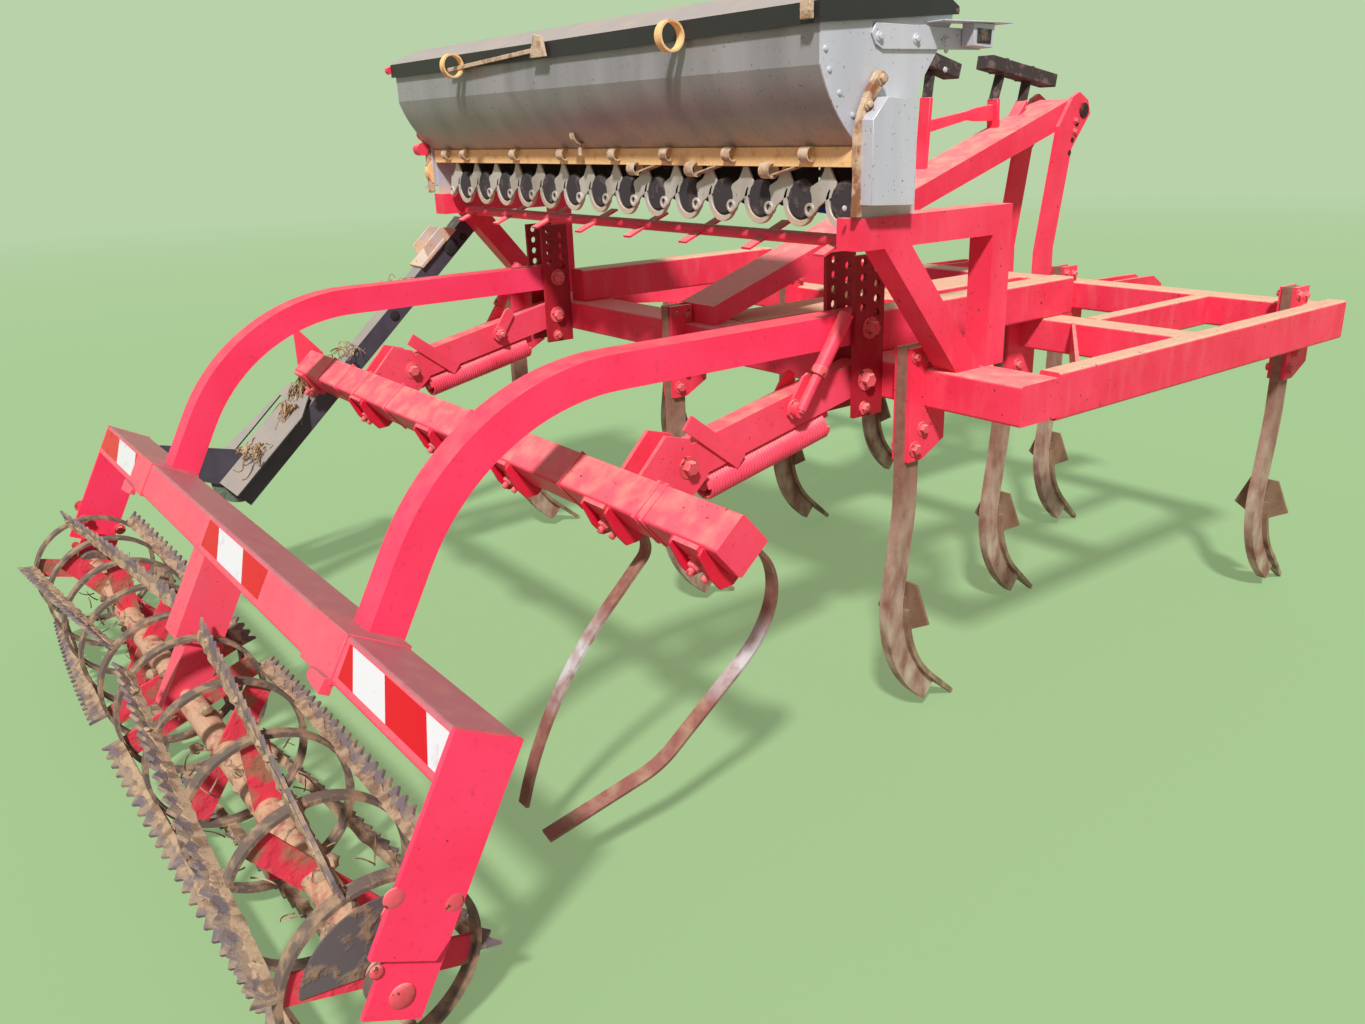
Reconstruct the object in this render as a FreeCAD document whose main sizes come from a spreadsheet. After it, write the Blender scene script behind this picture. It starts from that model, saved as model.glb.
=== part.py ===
"""Tractor-mounted field cultivator with spring harrow, cage roller and seed box.

Frame of the model: +Y is the driving direction, +X the machine's right hand, +Z up.
The ground under the points and the roller is Z = 0, and X = 0 is the middle of the machine.
Lengths are in millimetres and angles in degrees.
"""
import FreeCAD, Part

import math
import operator
import os
from types import SimpleNamespace

import Sketcher
from FreeCAD import Placement, Rotation, Vector

DIMENSIONS = {
    # main frame: three cross beams, side beams and rails
    "frame_top": 1000,
    "beam_height": 100,
    "tube_corner": 8,
    "rear_beam_rear": -50,
    "rear_beam_depth": 150,
    "middle_beam_rear": 760,
    "front_beam_rear": 1510,
    "cross_beam_depth": 100,
    "frame_half_width": 1270,
    "side_beam_width": 60,
    "side_beam_rise": 10,
    "side_beam_height": 120,
    "centre_beam_width": 200,
    "inner_rail_offset": 850,
    "inner_rail_width": 50,
    "gusset_thickness": 12,
    "gusset_rear_y": 250,
    "gusset_toe": 18,
    "upper_rail_offset": 712,
    "upper_rail_width": 80,
    "upper_rail_height": 115,
    "upper_rail_rear": -20,
    "upper_rail_front": 900,
    # digging tines
    "shank_width": 30,
    "shank_depth": 60,
    "shank_gap": 0,
    "shank_foot": 120,
    "shank_foot_run": 40,
    "shank_bend_radius": 340,
    "shank_bend_angle": 58,
    "shank_lean_run": 200,
    "shank_knee_radius": 600,
    "point_pitch_angle": 40,
    "point_width": 62,
    "point_thickness": 14,
    "point_tip_width": 14,
    "point_taper": 120,
    "point_cover": 50,
    "wing_width": 180,
    "wing_height": 150,
    "wing_thickness": 8,
    "wing_bite": 1,
    "holder_plate": 12,
    "holder_top": 1058,
    "holder_bottom": 762,
    "holder_depth": 54,
    "holder_toe": 54,
    "holder_heel_height": 806,
    "holder_hook": 82,
    "holder_lip": 30,
    "tine_wall_gap": 55,
    "front_tine_middle": 310,
    "front_tine_left": -620,
    "middle_tine_right": 640,
    "middle_tine_middle": -390,
    "stand_tine_inside": 78,
    "rear_tine_middle": -50,
    "stand_tine_outside": 70,
    # roller arms and the perforated plates that carry them
    "arm_offset": 775,
    "arm_width": 80,
    "arm_depth": 82,
    "arm_pivot_y": -100,
    "arm_pivot_z": 1094,
    "arm_nose": 38,
    "arm_level_run": 770,
    "arm_bend_radius": 590,
    "arm_side_gap": 6,
    "arm_plate_thickness": 12,
    "arm_plate_depth": 105,
    "arm_plate_top": 1280,
    "arm_plate_bottom": 862,
    "arm_hole_radius": 11,
    "arm_hole_pitch": 38,
    "arm_hole_rows": 4,
    "arm_hole_start": 1138,
    "arm_hole_spread": 50,
    "arm_pin_radius": 15,
    "running_gap": 0.05,
    # roller beam, end plates and centre hanger, measured from the middle of the beam's top
    "roller_beam_half": 1313,
    "roller_beam_width": 137,
    "roller_beam_height": 100,
    "roller_tilt_angle": 28.2,
    "roller_beam_y": -1500,
    "end_plate_thickness": 12,
    "end_plate_drop": 405,
    "end_plate_chamfer": 12,
    "end_plate_chamfer_rise": 40,
    "bearing_plate_start": 370,
    "bearing_plate_drop": 520,
    "bearing_plate_width": 112,
    "roller_axis_drop": 475,
    "roller_axis_shift": 23,
    "roller_split": -90,
    "hub_radius": 48,
    "hub_length": 40,
    "hanger_width": 100,
    "hanger_depth": 120,
    "hanger_drop": 330,
    "hanger_cheek": 14,
    # cage roller
    "shaft_radius": 32,
    "stub_radius": 17.5,
    "cage_inner_end": 80,
    "cage_end_gap": 16,
    "hoop_radius": 185,
    "hoop_thickness": 9,
    "hoop_width": 32,
    "hoop_count": 5,
    "spoke_width": 60,
    "spoke_thickness": 8,
    "spoke_start_angle": 20,
    "spoke_step_angle": 36,
    "cage_bar_count": 6,
    "cage_radius": 230,
    "cage_bar_seat": 0.25,
    "cage_bar_thickness": 8,
    "cage_twist_angle": 32,
    # spring harrow
    "harrow_bar_right": 1280,
    "harrow_bar_side": 95,
    "spike_thickness": 8,
    "spike_step": 12,
    "spike_shoulder": 66,
    "spike_reach": 69,
    "spike_height": 154,
    "harrow_bar_angle": 41,
    "harrow_arm_width": 60,
    "harrow_arm_end_flat": 1,
    "harrow_arm_depth": 88,
    "harrow_pivot_y": -112,
    "harrow_pivot_z": 960,
    "harrow_arm_length": 590,
    "harrow_arm_angle": 12,
    "harrow_pin_radius": 14,
    "lug_thickness": 12,
    "lug_foot": 68,
    "lug_run": 224.9,
    "lug_sag": 9.3,
    "lug_toe": 202,
    "lug_reach": 225,
    "lug_shoulder": 93,
    "lug_drop": 205,
    "lug_peak": 187,
    "lug_peak_drop": 35,
    "link_plate_width": 40,
    "link_plate_thickness": 8,
    "link_plate_length": 205,
    "link_plate_angle": 38,
    "link_plate_rise": 106,
    "link_plate_run": 6,
    "spring_radius": 24,
    "spring_length": 405,
    "spring_start": 132,
    "spring_drop": 74,
    "spring_tie_run": 83,
    "spring_tie_radius": 9,
    "spring_pin_radius": 12,
    "spring_ear_depth": 30,
    "rod_radius": 13,
    "rod_sleeve_radius": 19,
    "rod_sleeve_share": 0.6,
    "rod_side_gap": 2,
    "rod_foot_y": -345,
    "rod_foot_z": 918,
    "rod_head_y": -190,
    "rod_head_z": 1140,
    "clamp_width": 80,
    "clamp_thickness": 10,
    "clamp_end_gap": 50,
    "clamp_2": -510,
    "clamp_3": -20,
    "clamp_4": 420,
    "spring_tine_width": 34,
    "spring_tine_thickness": 9,
    "long_tine_x": 1190,
    "long_tine_ease": 1.2,
    "long_tine_run": 40,
    "long_tine_loop": 50,
    "long_tine_turn_angle": 86,
    "long_tine_bow": 230,
    "long_tine_sweep_angle": 85,
    "long_tine_leg": 250,
    "long_tine_heel": 150,
    "long_tine_kick_angle": 36,
    "long_tine_foot": 250,
    "long_tine_skew_angle": 16,
    "short_tine_x": 862,
    "short_tine_dip_angle": 75,
    "short_tine_run": 80,
    "short_tine_heel": 40,
    "short_tine_kick_angle": 62,
    "short_tine_leg": 140,
    "short_tine_bow": 900,
    "short_tine_sweep_angle": 31,
    # seed hopper
    "hopper_half_length": 1050,
    "hopper_sheet": 4,
    "hopper_rear_y": -495,
    "hopper_front_y": -92,
    "hopper_rim": 1800,
    "hopper_wall_drop": 90,
    "hopper_bend_radius": 330,
    "hopper_floor": 1545,
    "hopper_floor_rear": -375,
    "hopper_floor_front": -195,
    "hopper_front_knee": 1665,
    "lid_gap": 0.5,
    "lid_thickness": 3,
    "lid_crown": 58,
    "lid_overhang": 10,
    "lid_lip": 40,
    "lid_rise": 28,
    "lid_front_lip": 14,
    "lid_pivot_inset": 7,
    "lid_pin_radius": 5,
    "latch_radius": 35,
    "latch_thickness": 5,
    "latch_width": 24,
    "latch_drop": 32,
    "latch_right": 600,
    "latch_left": -520,
    "rail_height": 26,
    "unit_count": 14,
    "unit_end_gap": 94,
    "unit_width": 58,
    "unit_height": 152,
    "unit_depth": 76,
    "disc_radius": 34,
    "drive_shaft_radius": 9,
    # hopper stand
    "stand_inset": 20,
    "stand_tube": 70,
    "stand_post_y": 112,
    "stand_top": 1395,
    "stand_rear": -388,
    "stand_brace_y": -260,
    "stand_brace_gap": 30,
    # spreader pipe below the hopper
    "pipe_radius": 15,
    "pipe_y": -297,
    "pipe_z": 1334,
    "paddle_length": 150,
    "paddle_width": 34,
    "paddle_thickness": 6,
    "paddle_angle": 22,
    "paddle_end_gap": 78,
    "paddle_count": 8,
    # headstock and hitch
    "mast_offset": 92,
    "mast_plate": 16,
    "mast_depth": 110,
    "mast_foot_reach": 115,
    "mast_waist_reach": 108,
    "mast_waist_rise": 90,
    "mast_throat_inset": 49,
    "mast_throat_drop": 172,
    "mast_chin_drop": 44,
    "mast_brow_inset": 19,
    "mast_brow_rise": 5,
    "mast_crown_inset": 24,
    "mast_crown": 36,
    "mast_nape_inset": 10,
    "mast_nape_rise": 19,
    "mast_shoulder_inset": 87,
    "mast_shoulder_drop": 89,
    "mast_heel_rise": 85,
    "mast_head_y": 1840,
    "mast_head_z": 1640,
    "brace_height": 88,
    "brace_foot_y": -15,
    "brace_foot_run": 20,
    "brace_foot_rise": 60,
    "brace_head_share": 0.6,
    "hitch_offset": 412,
    "hitch_gap": 62,
    "hitch_plate": 15,
    "hitch_pin_y": 1868,
    "hitch_pin_z": 930,
    "hitch_pin_radius": 14,
    "hitch_pin_length": 90,
    "hitch_shoulder_radius": 16,
    "hitch_reach": 60.33,
    "ear_under": 60,
    "ear_low": 20,
    "ear_high": 30,
    "ear_over": 65,
    "top_pin_radius": 12.5,
    "top_pin_y": 1850,
    "top_pin_z": 1608,
    # seeder drive case
    "case_inset": 173,
    "case_gap": 22,
    "case_depth": 66,
    "case_width": 76,
    "case_sheet": 5,
    "case_slot_start": 520,
    "case_slot_width": 40,
    "case_slot_length": 620,
    "case_low_y": -1218,
    "case_low_z": 397,
    "case_top_y": -240,
    "case_top_z": 1277.5,
    "cover_width": 240,
    "cover_length": 430,
    "cover_taper": 60,
    "cover_nip_width": 46,
    "cover_nip_length": 78,
    "cover_thickness": 6,
    "cover_angle": 17,
    "cover_rise": 42,
    "cover_shift": 38,
    "cover_slot_width": 26,
    "cover_slot_length": 330,
    "cover_slot_shift": 42,
    "case_plate": 8,
    "case_plate_start": 30,
    "case_plate_length": 170,
}

OPERATORS = {"+": operator.add, "-": operator.sub, "*": operator.mul, "/": operator.truediv}


class Size:
    """A number together with the spreadsheet formula that gives it."""

    def __init__(self, value, formula):
        self.value = value
        self.formula = formula

    def __add__(self, other):
        return combine(self, "+", other)

    def __radd__(self, other):
        return combine(other, "+", self)

    def __sub__(self, other):
        return combine(self, "-", other)

    def __rsub__(self, other):
        return combine(other, "-", self)

    def __mul__(self, other):
        return combine(self, "*", other)

    def __rmul__(self, other):
        return combine(other, "*", self)

    def __truediv__(self, other):
        return combine(self, "/", other)

    def __neg__(self):
        return combine(0, "-", self)


def as_size(number):
    """Read a plain number as a Size whose formula is the number itself."""
    return number if isinstance(number, Size) else Size(float(number), repr(float(number)))


def combine(left, sign, right):
    """Work out two sizes, keeping the formula beside the value."""
    left, right = as_size(left), as_size(right)
    value = OPERATORS[sign](left.value, right.value)
    return Size(value, f"({left.formula} {sign} {right.formula})")


def sin(angle):
    """Sine of an angle in degrees."""
    angle = as_size(angle)
    return Size(math.sin(math.radians(angle.value)), f"sin({angle.formula})")


def cos(angle):
    """Cosine of an angle in degrees."""
    angle = as_size(angle)
    return Size(math.cos(math.radians(angle.value)), f"cos({angle.formula})")


def root(area):
    """Square root."""
    return Size(math.sqrt(area.value), f"sqrt({area.formula})")


def slope(rise, run):
    """Angle in degrees of a line with this rise and run."""
    rise, run = as_size(rise), as_size(run)
    degrees = math.degrees(math.atan2(rise.value, run.value))
    return Size(degrees, f"(atan2({rise.formula}; {run.formula}) / 1 deg)")


# ---------------------------------------------------------------- document and helpers

document = FreeCAD.newDocument("FieldCultivator")
sheet = document.addObject("Spreadsheet::Sheet", "Sizes")
for row, (alias, number) in enumerate(DIMENSIONS.items(), start=1):
    sheet.set(f"A{row}", alias)
    sheet.set(f"B{row}", str(number))
    sheet.setAlias(f"B{row}", alias)
document.recompute()
d = SimpleNamespace(**{alias: Size(float(number), f"Sizes.{alias}")
                       for alias, number in DIMENSIONS.items()})
nodes = {}


def place(item, x=0, y=0, z=0, tilt=None, axis=Vector(1, 0, 0)):
    """Bind the item's position, and its turn about one axis, to the sheet."""
    if tilt is not None:
        item.Placement = Placement(Vector(), Rotation(axis, as_size(tilt).value))
        item.setExpression(".Placement.Rotation.Angle", as_size(tilt).formula)
    for name, size in zip("xyz", (x, y, z)):
        item.setExpression(f".Placement.Base.{name}", as_size(size).formula)
    return item


def box(name, length, depth, height, x=0, y=0, z=0, tilt=None):
    """Box centred on x and y that stands on z, sizes along X, Y and Z."""
    item = document.addObject("Part::Box", name)
    for prop, size in (("Length", length), ("Width", depth), ("Height", height)):
        item.setExpression(prop, as_size(size).formula)
    if tilt is None:
        return place(item, as_size(x) - as_size(length) / 2, as_size(y) - as_size(depth) / 2, z)
    return place(item, as_size(x) - as_size(length) / 2, y, z, tilt)


def rod_x(name, radius, length, x=0, y=0, z=0):
    """Round bar along X, centred on x."""
    item = document.addObject("Part::Cylinder", name)
    item.setExpression("Radius", as_size(radius).formula)
    item.setExpression("Height", as_size(length).formula)
    return place(item, as_size(x) - as_size(length) / 2, y, z, 90, Vector(0, 1, 0))


def corner(u, v, radius=None, turn=1):
    """Outline corner; with a radius, the edge to the next corner is an arc, turning left if turn is 1."""
    return SimpleNamespace(u=as_size(u), v=as_size(v), radius=radius, turn=turn)


def arc_between(start, end, radius, turn):
    """Arc geometry from start to end, and the vertex numbers of its two ends in that order."""
    half = (end - start) * 0.5
    rise = math.sqrt(max(radius ** 2 - half.Length ** 2, 0.0))
    side = Vector(-half.y, half.x, 0)
    side.normalize()
    centre = start + half + side * rise * turn
    first, last = (start, end) if turn > 0 else (end, start)
    angles = [math.atan2(point.y - centre.y, point.x - centre.x) for point in (first, last)]
    circle = Part.Circle(centre, Vector(0, 0, 1), radius)
    return Part.ArcOfCircle(circle, *angles), (1, 2) if turn > 0 else (2, 1)


def trace(sketch, corners):
    """Draw a closed outline whose corners and radii are bound to the sheet."""
    ends = []
    for index, start in enumerate(corners):
        following = corners[(index + 1) % len(corners)]
        points = [Vector(point.u.value, point.v.value, 0) for point in (start, following)]
        if start.radius is None:
            geometry, order = Part.LineSegment(*points), (1, 2)
        else:
            geometry, order = arc_between(*points, start.radius.value, start.turn)
        sketch.addGeometry(geometry)
        ends.append(order)
    for index, start in enumerate(corners):
        following = (index + 1) % len(corners)
        sketch.addConstraint(Sketcher.Constraint(
            "Coincident", index, ends[index][1], following, ends[following][0]))
        for kind, size in (("DistanceX", start.u), ("DistanceY", start.v)):
            number = sketch.addConstraint(Sketcher.Constraint(
                kind, -1, 1, index, ends[index][0], size.value))
            sketch.setExpression(f"Constraints[{number}]", size.formula)
        if start.radius is not None:
            number = sketch.addConstraint(Sketcher.Constraint("Radius", index, start.radius.value))
            sketch.setExpression(f"Constraints[{number}]", start.radius.formula)


def add_sketch(body, name, plane):
    """Empty sketch on one of the body's own origin planes."""
    sketch = body.newObject("Sketcher::SketchObject", name)
    support = next(item for item in body.Origin.OriginFeatures if item.Role == plane)
    sketch.AttachmentSupport = (support, "")
    sketch.MapMode = "FlatFace"
    return sketch


def pad(name, corners, thickness, plane="YZ_Plane", holes=()):
    """Body padded evenly to both sides of a plane, with round holes given as (u, v, radius)."""
    body = document.addObject("PartDesign::Body", name)
    sketch = add_sketch(body, f"{name}_outline", plane)
    trace(sketch, corners)
    for u, v, radius in holes:
        add_circle(sketch, u, v, radius)
    feature = body.newObject("PartDesign::Pad", f"{name}_pad")
    feature.Profile = sketch
    feature.SideType = "Symmetric"
    feature.setExpression("Length", as_size(thickness).formula)
    return body


def add_circle(sketch, u, v, radius):
    """Circle bound to the sheet by its centre and radius."""
    u, v, radius = as_size(u), as_size(v), as_size(radius)
    centre = Vector(u.value, v.value, 0)
    index = sketch.addGeometry(Part.Circle(centre, Vector(0, 0, 1), radius.value))
    for kind, size in (("DistanceX", u), ("DistanceY", v)):
        number = sketch.addConstraint(Sketcher.Constraint(kind, -1, 1, index, 3, size.value))
        sketch.setExpression(f"Constraints[{number}]", size.formula)
    number = sketch.addConstraint(Sketcher.Constraint("Radius", index, radius.value))
    sketch.setExpression(f"Constraints[{number}]", radius.formula)


def rectangle(width, height, radius=None, u=0, v=0):
    """Outline of a rectangle centred on u and v, its corners rounded if a radius is given."""
    half_u, half_v = as_size(width) / 2, as_size(height) / 2
    if radius is None:
        return [corner(u - half_u, v - half_v), corner(u + half_u, v - half_v),
                corner(u + half_u, v + half_v), corner(u - half_u, v + half_v)]
    return [corner(u - half_u + radius, v - half_v),
            corner(u + half_u - radius, v - half_v, radius),
            corner(u + half_u, v - half_v + radius),
            corner(u + half_u, v + half_v - radius, radius),
            corner(u + half_u - radius, v + half_v),
            corner(u - half_u + radius, v + half_v, radius),
            corner(u - half_u, v + half_v - radius),
            corner(u - half_u, v - half_v + radius, radius)]


def strip(u, v, heading, steps, thickness):
    """Outline of a bar of even thickness that runs straight or bends round arcs.

    Each step is ("run", length), ("left", radius, angle) or ("right", radius, angle), where the
    radius is the bar's middle line's.
    """
    half = as_size(thickness) / 2
    right_side, left_side = [], []

    def note(right_radius=None, left_radius=None, turn=1):
        """Add the pair of edge points at the present place, with the arcs that follow them."""
        across_u, across_v = sin(heading) * half, cos(heading) * half
        right_side.append(corner(u + across_u, v - across_v, right_radius, turn))
        left_side.append((u - across_u, v + across_v, left_radius, turn))

    for kind, *amounts in steps:
        if kind == "run":
            note()
            u, v = u + cos(heading) * amounts[0], v + sin(heading) * amounts[0]
            continue
        radius, angle = as_size(amounts[0]), as_size(amounts[1])
        turn = 1 if kind == "left" else -1
        note(radius + half * turn, radius - half * turn, turn)
        centre_u, centre_v = u - sin(heading) * radius * turn, v + cos(heading) * radius * turn
        heading = heading + angle * turn
        u, v = centre_u + sin(heading) * radius * turn, centre_v - cos(heading) * radius * turn
    note()
    back = []
    for index in range(len(left_side) - 1, -1, -1):
        side_u, side_v = left_side[index][:2]
        radius, turn = left_side[index - 1][2:] if index else (None, 1)
        back.append(corner(side_u, side_v, radius, -turn))
    return right_side + back, (u, v, heading)


def twin(name, source, places, tilt=None):
    """Several copies of one shape, as a single compound of solids that don't touch."""
    links = []
    for index, (x, y, z) in enumerate(places):
        link = document.addObject("App::Link", f"{name}_copy{index}")
        link.LinkedObject = source
        links.append(place(link, x, y, z, tilt))
    return group(name, links)


def both_sides(x, y=0, z=0):
    """The same place on the machine's right and left."""
    return [(x, y, z), (-x, y, z)]


def group(name, items, x=0, y=0, z=0, tilt=None, axis=Vector(1, 0, 0)):
    """Compound of solids that keep apart."""
    item = document.addObject("Part::Compound", name)
    item.Links = items
    return place(item, x, y, z, tilt, axis)


def fuse(name, items):
    """One solid of several that touch or cross."""
    item = document.addObject("Part::MultiFuse", name)
    item.Shapes = items
    item.Refine = True
    return item


def cut(name, base, tool):
    """The base with the tool's shape taken out of it."""
    item = document.addObject("Part::Cut", name)
    item.Base = base
    item.Tool = tool
    item.Refine = True
    return item


def common(name, first, second):
    """What two shapes share."""
    item = document.addObject("Part::MultiCommon", name)
    item.Shapes = [first, second]
    return item


def finish(item, label):
    """Name a finished sub-part; its label is its file's name."""
    item.Label = label
    nodes[label] = item
    return item


def tube_x(name, length, depth, height, x=0, y=0, z=0, tilt=None):
    """Rectangular tube section along X, drawn about its own middle."""
    return place(pad(name, rectangle(depth, height, d.tube_corner), length), x, y, z, tilt)


def tube_y(name, length, width, height, x=0, y=0, z=0):
    """Rectangular tube section along Y, drawn about its own middle."""
    body = pad(name, rectangle(width, height, d.tube_corner), length, plane="XZ_Plane")
    return place(body, x, y, z)


# ---------------------------------------------------------------- main frame

beam_middle_z = d.frame_top - d.beam_height / 2
rear_beam_front = d.rear_beam_rear + d.rear_beam_depth
middle_beam_front = d.middle_beam_rear + d.cross_beam_depth
front_beam_front = d.front_beam_rear + d.cross_beam_depth
side_beam_offset = d.frame_half_width - d.side_beam_width / 2
inside_width = 2 * (d.frame_half_width - d.side_beam_width)
stand_offset = d.hopper_half_length - d.stand_inset


def build_cross_beams():
    """Three box beams across the machine."""
    finish(tube_x("RearBeam", 2 * d.frame_half_width, d.rear_beam_depth, d.beam_height,
                  0, d.rear_beam_rear + d.rear_beam_depth / 2, beam_middle_z), "rear_beam")
    finish(tube_x("MiddleBeam", inside_width, d.cross_beam_depth, d.beam_height,
                  0, d.middle_beam_rear + d.cross_beam_depth / 2, beam_middle_z), "middle_beam")
    finish(tube_x("FrontBeam", inside_width, d.cross_beam_depth, d.beam_height,
                  0, d.front_beam_rear + d.cross_beam_depth / 2, beam_middle_z), "front_beam")


def build_long_beams():
    """Side beams, the wide centre beam, inner rails and the rails on top."""
    side_length = front_beam_front - rear_beam_front
    side_z = d.frame_top + d.side_beam_rise - d.side_beam_height / 2
    side_beam = tube_y("SideBeam", side_length, d.side_beam_width, d.side_beam_height)
    finish(twin("SideBeams", side_beam, both_sides(side_beam_offset, rear_beam_front
                                                   + side_length / 2, side_z)), "side_beams")
    rail_length = d.upper_rail_front - d.upper_rail_rear
    rail = tube_y("UpperRail", rail_length, d.upper_rail_width, d.upper_rail_height)
    finish(twin("UpperRails", rail, both_sides(d.upper_rail_offset, d.upper_rail_rear
                                               + rail_length / 2,
                                               d.frame_top + d.upper_rail_height / 2)),
           "upper_rails")
    inner_length = d.front_beam_rear - middle_beam_front
    inner = tube_y("InnerRail", inner_length, d.inner_rail_width, d.beam_height)
    inner_y = middle_beam_front + inner_length / 2
    finish(twin("InnerRails", inner, both_sides(d.inner_rail_offset, inner_y, beam_middle_z)),
           "inner_rails")
    build_centre_beam()


def build_centre_beam():
    """Wide flat beam down the middle, in two lengths between the cross beams."""
    pieces = []
    for name, rear, front in (("Rear", rear_beam_front, d.middle_beam_rear),
                              ("Front", middle_beam_front, d.front_beam_rear)):
        length = front - rear
        pieces.append(tube_y(f"CentreBeam{name}", length, d.centre_beam_width, d.beam_height,
                             0, rear + length / 2, beam_middle_z))
    finish(group("CentreBeam", pieces), "centre_beam")


def build_gussets():
    """Upright plates that run slantwise from the side beams to the middle beam."""
    wall = d.frame_half_width - d.side_beam_width
    end_x, end_y = d.inner_rail_offset, d.middle_beam_rear
    outline = [corner(wall, d.gusset_rear_y), corner(wall, d.gusset_rear_y + d.gusset_toe),
               corner(end_x + d.gusset_thickness, end_y), corner(end_x, end_y)]
    right = place(pad("GussetRight", outline, d.beam_height, plane="XY_Plane"), 0, 0, beam_middle_z)
    mirrored = [corner(-point.u, point.v) for point in reversed(outline)]
    left = place(pad("GussetLeft", mirrored, d.beam_height, plane="XY_Plane"), 0, 0, beam_middle_z)
    finish(group("Gussets", [right, left]), "frame_gussets")


# ---------------------------------------------------------------- digging tines

shank_half = d.shank_depth / 2
STRAIGHT = 180
point_back = STRAIGHT - d.point_pitch_angle


def shank_outline():
    """Side view of a shank, measured from the tip of its point."""
    start_u = -d.shank_foot * cos(d.point_pitch_angle) - shank_half * sin(d.point_pitch_angle)
    start_v = d.shank_foot * sin(d.point_pitch_angle) - shank_half * cos(d.point_pitch_angle)
    lean = point_back - d.shank_bend_angle
    steps = [("run", d.shank_foot_run),
             ("right", d.shank_bend_radius, d.shank_bend_angle),
             ("run", d.shank_lean_run),
             ("left", d.shank_knee_radius, 90 - lean)]
    reached = strip(start_u, start_v, point_back, steps, d.shank_depth)[1]
    steps.append(("run", d.holder_top - reached[1]))
    return strip(start_u, start_v, point_back, steps, d.shank_depth)


def build_point(name):
    """Curved point bolted to the front of a shank, with its side plate."""
    half = d.point_thickness / 2
    inner_radius = d.shank_bend_radius - shank_half - half
    outline, _ = strip(half * sin(d.point_pitch_angle), half * cos(d.point_pitch_angle), point_back,
                       [("run", d.shank_foot + d.shank_foot_run),
                        ("right", inner_radius, d.point_cover)], d.point_thickness)
    blade = pad(f"{name}_blade", outline, d.point_width)
    rear = -(d.shank_foot + d.shank_bend_radius)
    wide, narrow = d.point_width / 2, d.point_tip_width / 2
    plan = pad(f"{name}_plan", [corner(-wide, rear), corner(wide, rear), corner(wide, -d.point_taper),
                                corner(narrow, half), corner(-narrow, half),
                                corner(-wide, -d.point_taper)],
               d.holder_top, plane="XY_Plane")
    return common(f"{name}_point", blade, plan)


def wing_plate(name):
    """Pointed side plate in front of the shank, where the point's blade ends."""
    wide, tall = d.wing_width / 2, d.wing_height / 2
    return pad(name, [corner(0, -tall), corner(wide, -tall / 3), corner(wide / 2, tall),
                      corner(-wide / 2, tall), corner(-wide, -tall / 3)],
               d.wing_thickness, plane="XZ_Plane")


def build_tines():
    """Three rows of tines: shanks, points with side plates, and the holders on the beams."""
    outline, (shank_u, _, _) = shank_outline()
    shank = pad("Shank", outline, d.shank_width)
    point = build_point("Digging")
    pitch = d.point_pitch_angle
    bend_start = d.shank_foot + d.shank_foot_run
    front_radius = d.shank_bend_radius - shank_half
    face_radius = front_radius - d.point_thickness
    centre_u = -bend_start * cos(pitch) + front_radius * sin(pitch)
    centre_v = bend_start * sin(pitch) + front_radius * cos(pitch)
    wing_heading = point_back - d.point_cover
    seat = face_radius - d.wing_thickness / 2 - d.wing_bite
    wing_u = centre_u - sin(wing_heading) * seat
    wing_v = centre_v + cos(wing_heading) * seat
    wing = place(wing_plate("Wing"), 0, wing_u, wing_v, wing_heading - 90)
    block_angle = wing_heading - 90
    block = box("WingBlock", d.shank_width, d.point_thickness, d.point_width, 0,
                wing_u - cos(block_angle) * d.point_thickness, wing_v - sin(block_angle) * d.point_thickness
                - d.point_width / 2, block_angle)
    share = fuse("PointWithWing", [point, wing, block])
    plate = pad("HolderPlate", holder_outline(), d.holder_plate)
    spread = (d.shank_width + d.holder_plate) / 2
    outermost = d.frame_half_width - d.side_beam_width - d.tine_wall_gap
    rows = {
        "rear": (d.rear_beam_rear, (stand_offset - d.stand_tine_inside, d.rear_tine_middle,
                                    -(stand_offset + d.stand_tine_outside))),
        "middle": (d.middle_beam_rear, (d.middle_tine_right, d.middle_tine_middle, -outermost)),
        "front": (d.front_beam_rear, (outermost, d.front_tine_middle, d.front_tine_left)),
    }
    for row_name, (beam_rear, offsets) in rows.items():
        tip_y = beam_rear - d.shank_gap - shank_half - shank_u
        spots = [(x, tip_y, 0) for x in offsets]
        finish(twin(f"Shanks_{row_name}", shank, spots), f"tine_shanks_{row_name}")
        finish(twin(f"Points_{row_name}", share, spots), f"tine_points_{row_name}")
        plates = [(x + side * spread, beam_rear, 0) for x in offsets for side in (1, -1)]
        finish(twin(f"Holders_{row_name}", plate, plates), f"tine_holders_{row_name}")


def holder_outline():
    """Side view of a holder plate, measured from the beam's rear face; it hooks under and over."""
    bottom = d.frame_top - d.beam_height
    return [corner(-d.holder_depth, d.holder_top), corner(-d.holder_depth, d.holder_bottom),
            corner(-d.holder_depth + d.holder_toe, d.holder_bottom),
            corner(d.holder_hook, d.holder_heel_height), corner(d.holder_hook, bottom),
            corner(0, bottom), corner(0, d.frame_top), corner(d.holder_lip, d.frame_top),
            corner(d.holder_lip, d.holder_top)]


# ---------------------------------------------------------------- roller arms

arm_plate_spread = (d.arm_width + d.arm_plate_thickness) / 2 + d.arm_side_gap
arm_plate_y = d.rear_beam_rear - d.arm_plate_depth / 2


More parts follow.
